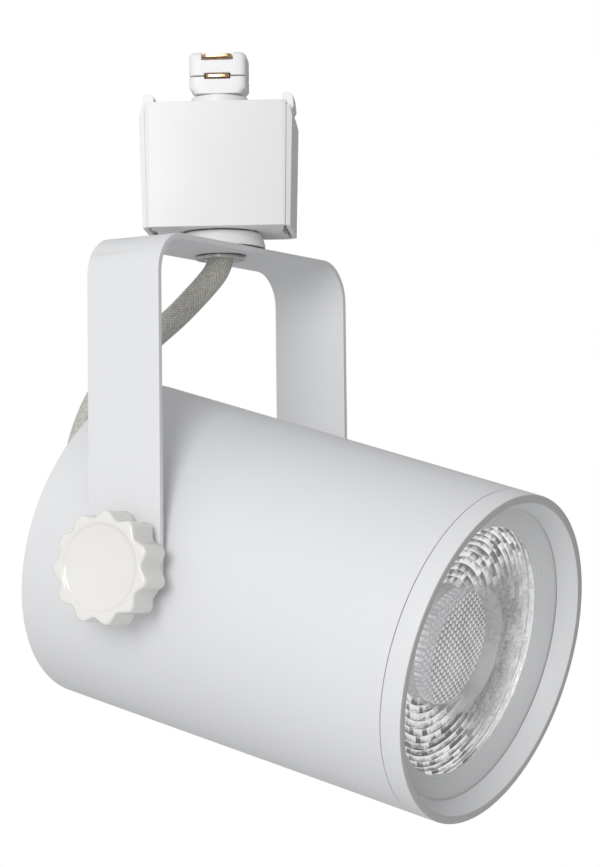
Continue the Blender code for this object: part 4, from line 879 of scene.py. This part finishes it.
def makeFacets(shape, front):
    chance = random.Random(11)
    rows, columns, grid = shape["rows"], shape["columns"], shape["grid"]
    tilts = [[(chance.uniform(-1, 1), chance.uniform(-1, 1)) for k in range(columns)]
             for i in range(rows)]
    count = columns * grid
    bm = bmesh.new()
    rings = []
    for i in range(rows * grid + 1):
        row = min(i // grid, rows - 1)
        down = 2 * (i / grid - row) - 1
        ring = []
        for k in range(count):
            slide = 0.5 * grid * (row % 2)
            column = int((k + slide) // grid) % columns
            across = 2 * (((k + slide) / grid) % 1.0) - 1
            window = (1 - down * down) * (1 - across * across)
            lean = tilts[row][column]
            slope = lean[0] * down + lean[1] * across
            lift = shape["bulge"] * window + shape["tilt"] * window * slope * shape["lean"]
            radius, depth = opticSurface(shape, i / (rows * grid))
            angle = math.tau * k / count
            ring.append(((radius - lift) * math.cos(angle), (radius - lift) * math.sin(angle),
                         front - depth))
        rings.append(ring)
    for share in (1.0, 0.75, 0.5, 0.25, 0.0):
        radius, depth = opticSurface(shape, share)
        rings.append(circle(radius + shape["wall"], front - depth - shape["backGap"], count))
    loops = [[bm.verts.new(point) for point in ring] for ring in rings]
    scaleUv = bm.loops.layers.uv.new("scaleUv")
    for i, (low, high) in enumerate(zip(loops, loops[1:] + loops[:1])):
        down = min(i, rows * grid)
        belows = (down, down, down + 1, down + 1)
        for k, face in enumerate(bridge(bm, low, high)):
            for loop, around, below in zip(face.loops, (k, k + 1, k + 1, k), belows):
                loop[scaleUv].uv = (around / grid, min(below / grid, rows - 0.001))
    finishes["optic_facets"] = makeFacetSilver(facetLook, shape)
    piece = addPiece("optic_facets", bm, beamPlace, "optic", 60)
    piece.data.materials[0] = finishes["optic_facets"]
    standFor(piece, "optic")


def makeDisc(shape, front):
    step = shape["pitch"] / shape["fineness"]
    rowShare = shape["rowShare"]  # rows of a honeycomb are this share of its pitch apart
    half = int(shape["radius"] / (step * rowShare)) + 2
    centres = shape["pitch"]

    def pillow(x, y):
        # height of the nearest cell of a honeycomb, 1 in its middle and 0 on its border
        best = 1e9
        row = round(y / (centres * rowShare))
        for r in (row - 1, row, row + 1):
            shift = 0.5 * centres * (r % 2)
            c = round((x - shift) / centres)
            for column in (c - 1, c, c + 1):
                dx = x - (column * centres + shift)
                dy = y - r * centres * rowShare
                best = min(best, dx * dx + dy * dy)
        return max(0.0, 1 - best / (shape["cellShare"] * centres * centres))

    bm = bmesh.new()
    grid = {}
    for j in range(-half, half + 1):
        for i in range(-half * 2, half * 2 + 1):
            x = (i + 0.5 * (j % 2)) * step
            y = j * step * rowShare
            radius = math.hypot(x, y)
            if radius > shape["radius"]:
                continue
            dome = shape["rise"] * (1 - (radius / shape["radius"]) ** 2)
            edge = min(1.0, (shape["radius"] - radius) / shape["fade"])
            level = front - shape["depth"] + dome + shape["pillow"] * pillow(x, y) * edge
            grid[i, j] = bm.verts.new((x, y, level))
    for (i, j), vertex in list(grid.items()):
        shift = j % 2
        right = grid.get((i + 1, j))
        upLeft, upRight = grid.get((i + shift - 1, j + 1)), grid.get((i + shift, j + 1))
        if upLeft and upRight:
            bm.faces.new((vertex, upRight, upLeft))
        if right and upRight:
            bm.faces.new((vertex, right, upRight))
    bmesh.ops.delete(bm, geom=[v for v in bm.verts if not v.link_faces], context="VERTS")
    border = [edge for edge in bm.edges if len(edge.link_faces) == 1]
    made = bmesh.ops.extrude_edge_only(bm, edges=border)["geom"]
    lower = [item for item in made if isinstance(item, bmesh.types.BMVert)]
    for vertex in lower:
        vertex.co.z = front - shape["depth"] - shape["thickness"]
    lowEdges = [item for item in made if isinstance(item, bmesh.types.BMEdge)]
    bmesh.ops.contextual_create(bm, geom=lowEdges)
    honeyUv = bm.loops.layers.uv.new("honeyUv")
    for face in bm.faces:
        for loop in face.loops:
            x, y = loop.vert.co.x, loop.vert.co.y
            loop[honeyUv].uv = (pillow(x, y), math.hypot(x, y) / shape["radius"])
    piece = addPiece("optic_disc", bm, beamPlace, "optic", 60)
    piece.data.materials[0] = makeHoneycomb(honeyLook)
    standFor(piece, "optic")


def makeRim(shape, front):
    high, low = shape["shoulder"]
    foot = front - shape["foot"]
    bore = shape["inner"] - shape["undercut"]
    outline = [(shape["inner"], front - high), (shape["top"], front, shape["edge"]),
               (shape["outer"], front, shape["edge"]), (shape["outer"] - shape["taper"], foot),
               (bore, foot), (bore, front - low)]
    piece = turnedPiece("optic_rim", "optic", outline, beamPlace)
    piece.data.materials[0] = makeVeil("optic_rim", rimLook["colour"], rimLook["cover"])
    standFor(piece, "optic")


def makeOptic():
    low, high = reach("optic", beamPlace)
    front = high.z
    makeFacets(opticShape, front)
    makeDisc(discShape, front)
    makeRim(rimShape, front)
    inner, back = rimShape["outer"] + faceShape["gap"], front - faceShape["thickness"]
    veil = turnedPiece("optic_face", "optic",
                       [(inner, front), (high.x, front), (high.x, back), (inner, back)],
                       beamPlace)
    veil.data.materials[0] = makeVeil("optic_veil", frostLook["colour"], frostLook["veil"])
    standFor(veil, "optic")


makeOptic()
print("optic ready")

# star knobs: rounded lobes, a dished face with a crisp rim
knobShape = {"lobes": 11, "facets": 16, "peak": 12.9 * mm, "valley": 11.2 * mm, "edge": 0.7 * mm,
             "edgeSteps": 4, "dish": 9.9 * mm, "dishDepth": 1.3 * mm, "rimDrop": 0.3 * mm,
             "hub": 6.0 * mm, "hubEdge": 0.2 * mm, "bore": 2.9 * mm, "thickness": 8.05 * mm}


def knobRing(shape, height, inset=0.0, softness=1.0):
    count = shape["lobes"] * shape["facets"]
    middle = (shape["peak"] + shape["valley"]) / 2
    lobe = (shape["peak"] - shape["valley"]) / 2
    ring = []
    for i in range(count):
        angle = math.tau * i / count
        radius = middle + lobe * softness * math.cos(shape["lobes"] * angle) - inset
        ring.append((radius * math.cos(angle), radius * math.sin(angle), height))
    return ring


def makeKnob(side, shape):
    node = f"{side}_knob"
    place = knobPlaces[side]
    low, high = reach(node, place)
    front = high.z
    back = front - shape["thickness"]
    edge, hub, rim, drop = shape["edge"], shape["hub"], shape["dish"], shape["rimDrop"]
    soft = shape["hubEdge"]
    count = shape["lobes"] * shape["facets"]
    rings = [circle(shape["bore"], low.z, count), circle(hub - soft, low.z, count),
             circle(hub, low.z + soft, count), circle(hub, back, count),
             knobRing(shape, back, 0.9 * mm, 0.9), knobRing(shape, back, 0.4 * mm),
             knobRing(shape, back + 0.12 * mm, 0.12 * mm), knobRing(shape, back + 0.4 * mm),
             knobRing(shape, front - edge - 0.3 * mm)]
    for step in range(shape["edgeSteps"] + 1):
        angle = math.radians(90 / shape["edgeSteps"] * step)
        rings.append(knobRing(shape, front - edge * (1 - math.sin(angle)),
                              edge * (1 - math.cos(angle)), 1.0 - 0.12 * math.sin(angle)))
    rings += [circle(rim + drop, front - 0.02 * mm, count),
              circle(rim + 0.08 * mm, front - 0.08 * mm, count),
              circle(rim - 0.1 * mm, front - drop, count)]
    for share in (0.93, 0.82, 0.68, 0.5, 0.3, 0.1):
        depth = drop + (shape["dishDepth"] - drop) * (1 - share * share) ** 0.8
        rings.append(circle(rim * share, front - depth, count))
    standFor(addPiece(f"{side}_star_knob", loftedMesh(rings), place, node, 40), node)


for side in knobPlaces:
    makeKnob(side, knobShape)
print("knobs ready")


# the springs under the latches close up by the latches' whole travel on the real lamp; here each spring
# just gets a mesh of its own
latchSprings = {"slides": {"left_latch_spring": "left_latch_slide",
                           "right_latch_spring": "right_latch_slide"},
                "travel": 3.3 * mm, "foot": -21.3 * mm}
latches = {"nodes": ("left_latch", "right_latch"), "seamTop": 16.9 * mm, "seamFoot": 16.4 * mm,
           "height": 29.3 * mm, "near": 0.08 * mm, "closer": 0.25 * mm}  # a hairline seam
edgeWidths = {node: width for width, nodes in {
    0.35 * mm: ("adapter_housing",),
    0.3 * mm: ("contact_post",),
    0.25 * mm: ("left_latch", "right_latch", "contact_post_cap", "cable_grommet", "near_spacer",
                "far_spacer"),
    0.2 * mm: ("swivel_collar", "heat_sink"),
    0.15 * mm: ("upper_contact", "lower_contact", "ground_contact", "adapter_top_plate",
                "rear_cover"),
    0.1 * mm: ("swivel_tube",),
    0: ("left_latch_spring", "right_latch_spring"),
}.items() for node in nodes}
bodyPlaces = {"adapter": trackPlace, "left_latch": trackPlace, "right_latch": trackPlace,
              "yoke": yokePlace, "head": beamPlace}
for side, place in knobPlaces.items():
    bodyPlaces[f"{side}_washer"] = bodyPlaces[f"{side}_knob"] = place


# everything else keeps its CAD form, with welded faces and softened edges
def refine(node, width):
    source = frame["nodes"][node].data
    bm = bmesh.new()
    vertices = [bm.verts.new(vertex.co) for vertex in source.vertices]
    for polygon in source.polygons:
        bm.faces.new([vertices[i] for i in polygon.vertices])
    bmesh.ops.remove_doubles(bm, verts=bm.verts, dist=0.002 * mm)
    bmesh.ops.dissolve_limit(bm, angle_limit=math.radians(1), verts=bm.verts, edges=bm.edges)
    if node in latches["nodes"]:
        for vertex in bm.verts:
            share = -vertex.co.z / latches["height"]
            seam = latches["seamTop"] + (latches["seamFoot"] - latches["seamTop"]) * share
            if abs(abs(vertex.co.x) - seam) < latches["near"]:
                vertex.co.x -= math.copysign(latches["closer"], vertex.co.x)
    place = bodyPlaces[bodyOf[node]]
    bmesh.ops.transform(bm, matrix=place.inverted(), verts=bm.verts)
    piece = addPiece(f"{node}_finished", bm, place, node)
    if width:
        roundEdges(piece, width, 2)
    if node == "rear_cover":
        piece.data.materials[0] = finishes["powder_shell"]  # a flat plate with no worn edge
    standFor(piece, node)
    if node in latchSprings["slides"]:
        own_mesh(piece)


for node in sorted(frame["nodes"]):
    if not frame["nodes"][node].hide_render:
        refine(node, edgeWidths.get(node, 0.12 * mm))
print("small pieces ready")

# studio: pale floor, soft lights, and pale surroundings that are darker on the right
studio = {"floorDrop": 0.32, "floorSize": 0.9, "floorColour": (0.86, 0.86, 0.86, 1),
          "surroundings": 0.36,
          "lean": (-0.20, -0.05, 0.26), "aim": (0, 0, -0.09)}
softLights = {
    "keyLight": {"place": (-0.34, -1.45, 0.22), "size": 0.7, "power": 10.6},
    "glintLight": {"place": (0.75, -1.3, -0.2), "size": 0.25, "power": 0.5},
}


def makeStudio(setup, lights):
    bm = bmesh.new()
    bmesh.ops.create_circle(bm, cap_ends=True, segments=96, radius=setup["floorSize"])
    bmesh.ops.translate(bm, verts=bm.verts, vec=(0, 0, -setup["floorDrop"]))
    floor = objectFrom("studioFloor", bm)
    material, tree, shader, coords = startMaterial("studioFloor")
    tree.links.new(fitRange(tree, noise(tree, coords, 3.0), 0.0, 1.0, 0.55, 0.65),
                   shader.inputs["Roughness"])
    setSockets(shader, {"Base Color": setup["floorColour"]})
    floor.data.materials.append(material)
    aim = Vector(setup["aim"])
    for name, light in lights.items():
        data = bpy.data.lights.new(name, "AREA")
        data.shape = "DISK"
        data.size = light["size"]
        data.energy = light["power"]
        lamp = bpy.data.objects.new(name, data)
        lamp.location = light["place"]
        lamp.rotation_euler = (aim - Vector(light["place"])).to_track_quat("-Z", "Y").to_euler()
        lamp.visible_camera = False
        bpy.context.scene.collection.objects.link(lamp)
    world = bpy.data.worlds.new("surroundings")
    world.use_nodes = True
    tree = world.node_tree
    seen = addNode(tree, "Background", {"Color": (1, 1, 1, 1), "Strength": 1.0})
    direction = addNode(tree, "TexCoord").outputs["Generated"]
    lean = addNode(tree, "VectorMath", {0: direction, 1: setup["lean"]},
                   operation="DOT_PRODUCT").outputs["Value"]
    strength = doMath(tree, "MAXIMUM", doMath(tree, "ADD", lean, setup["surroundings"]), 0.0)
    lit = addNode(tree, "Background", {"Color": (0.985, 0.99, 1.0, 1), "Strength": strength})
    ray = addNode(tree, "LightPath").outputs["Is Camera Ray"]
    both = addNode(tree, "MixShader", {0: ray, 1: lit.outputs[0], 2: seen.outputs[0]})
    output = next(node for node in tree.nodes if node.type == "OUTPUT_WORLD")
    tree.links.new(both.outputs[0], output.inputs[0])
    bpy.context.scene.world = world


makeStudio(studio, softLights)
bpy.context.scene.view_settings.view_transform = "Standard"
print("studio ready")
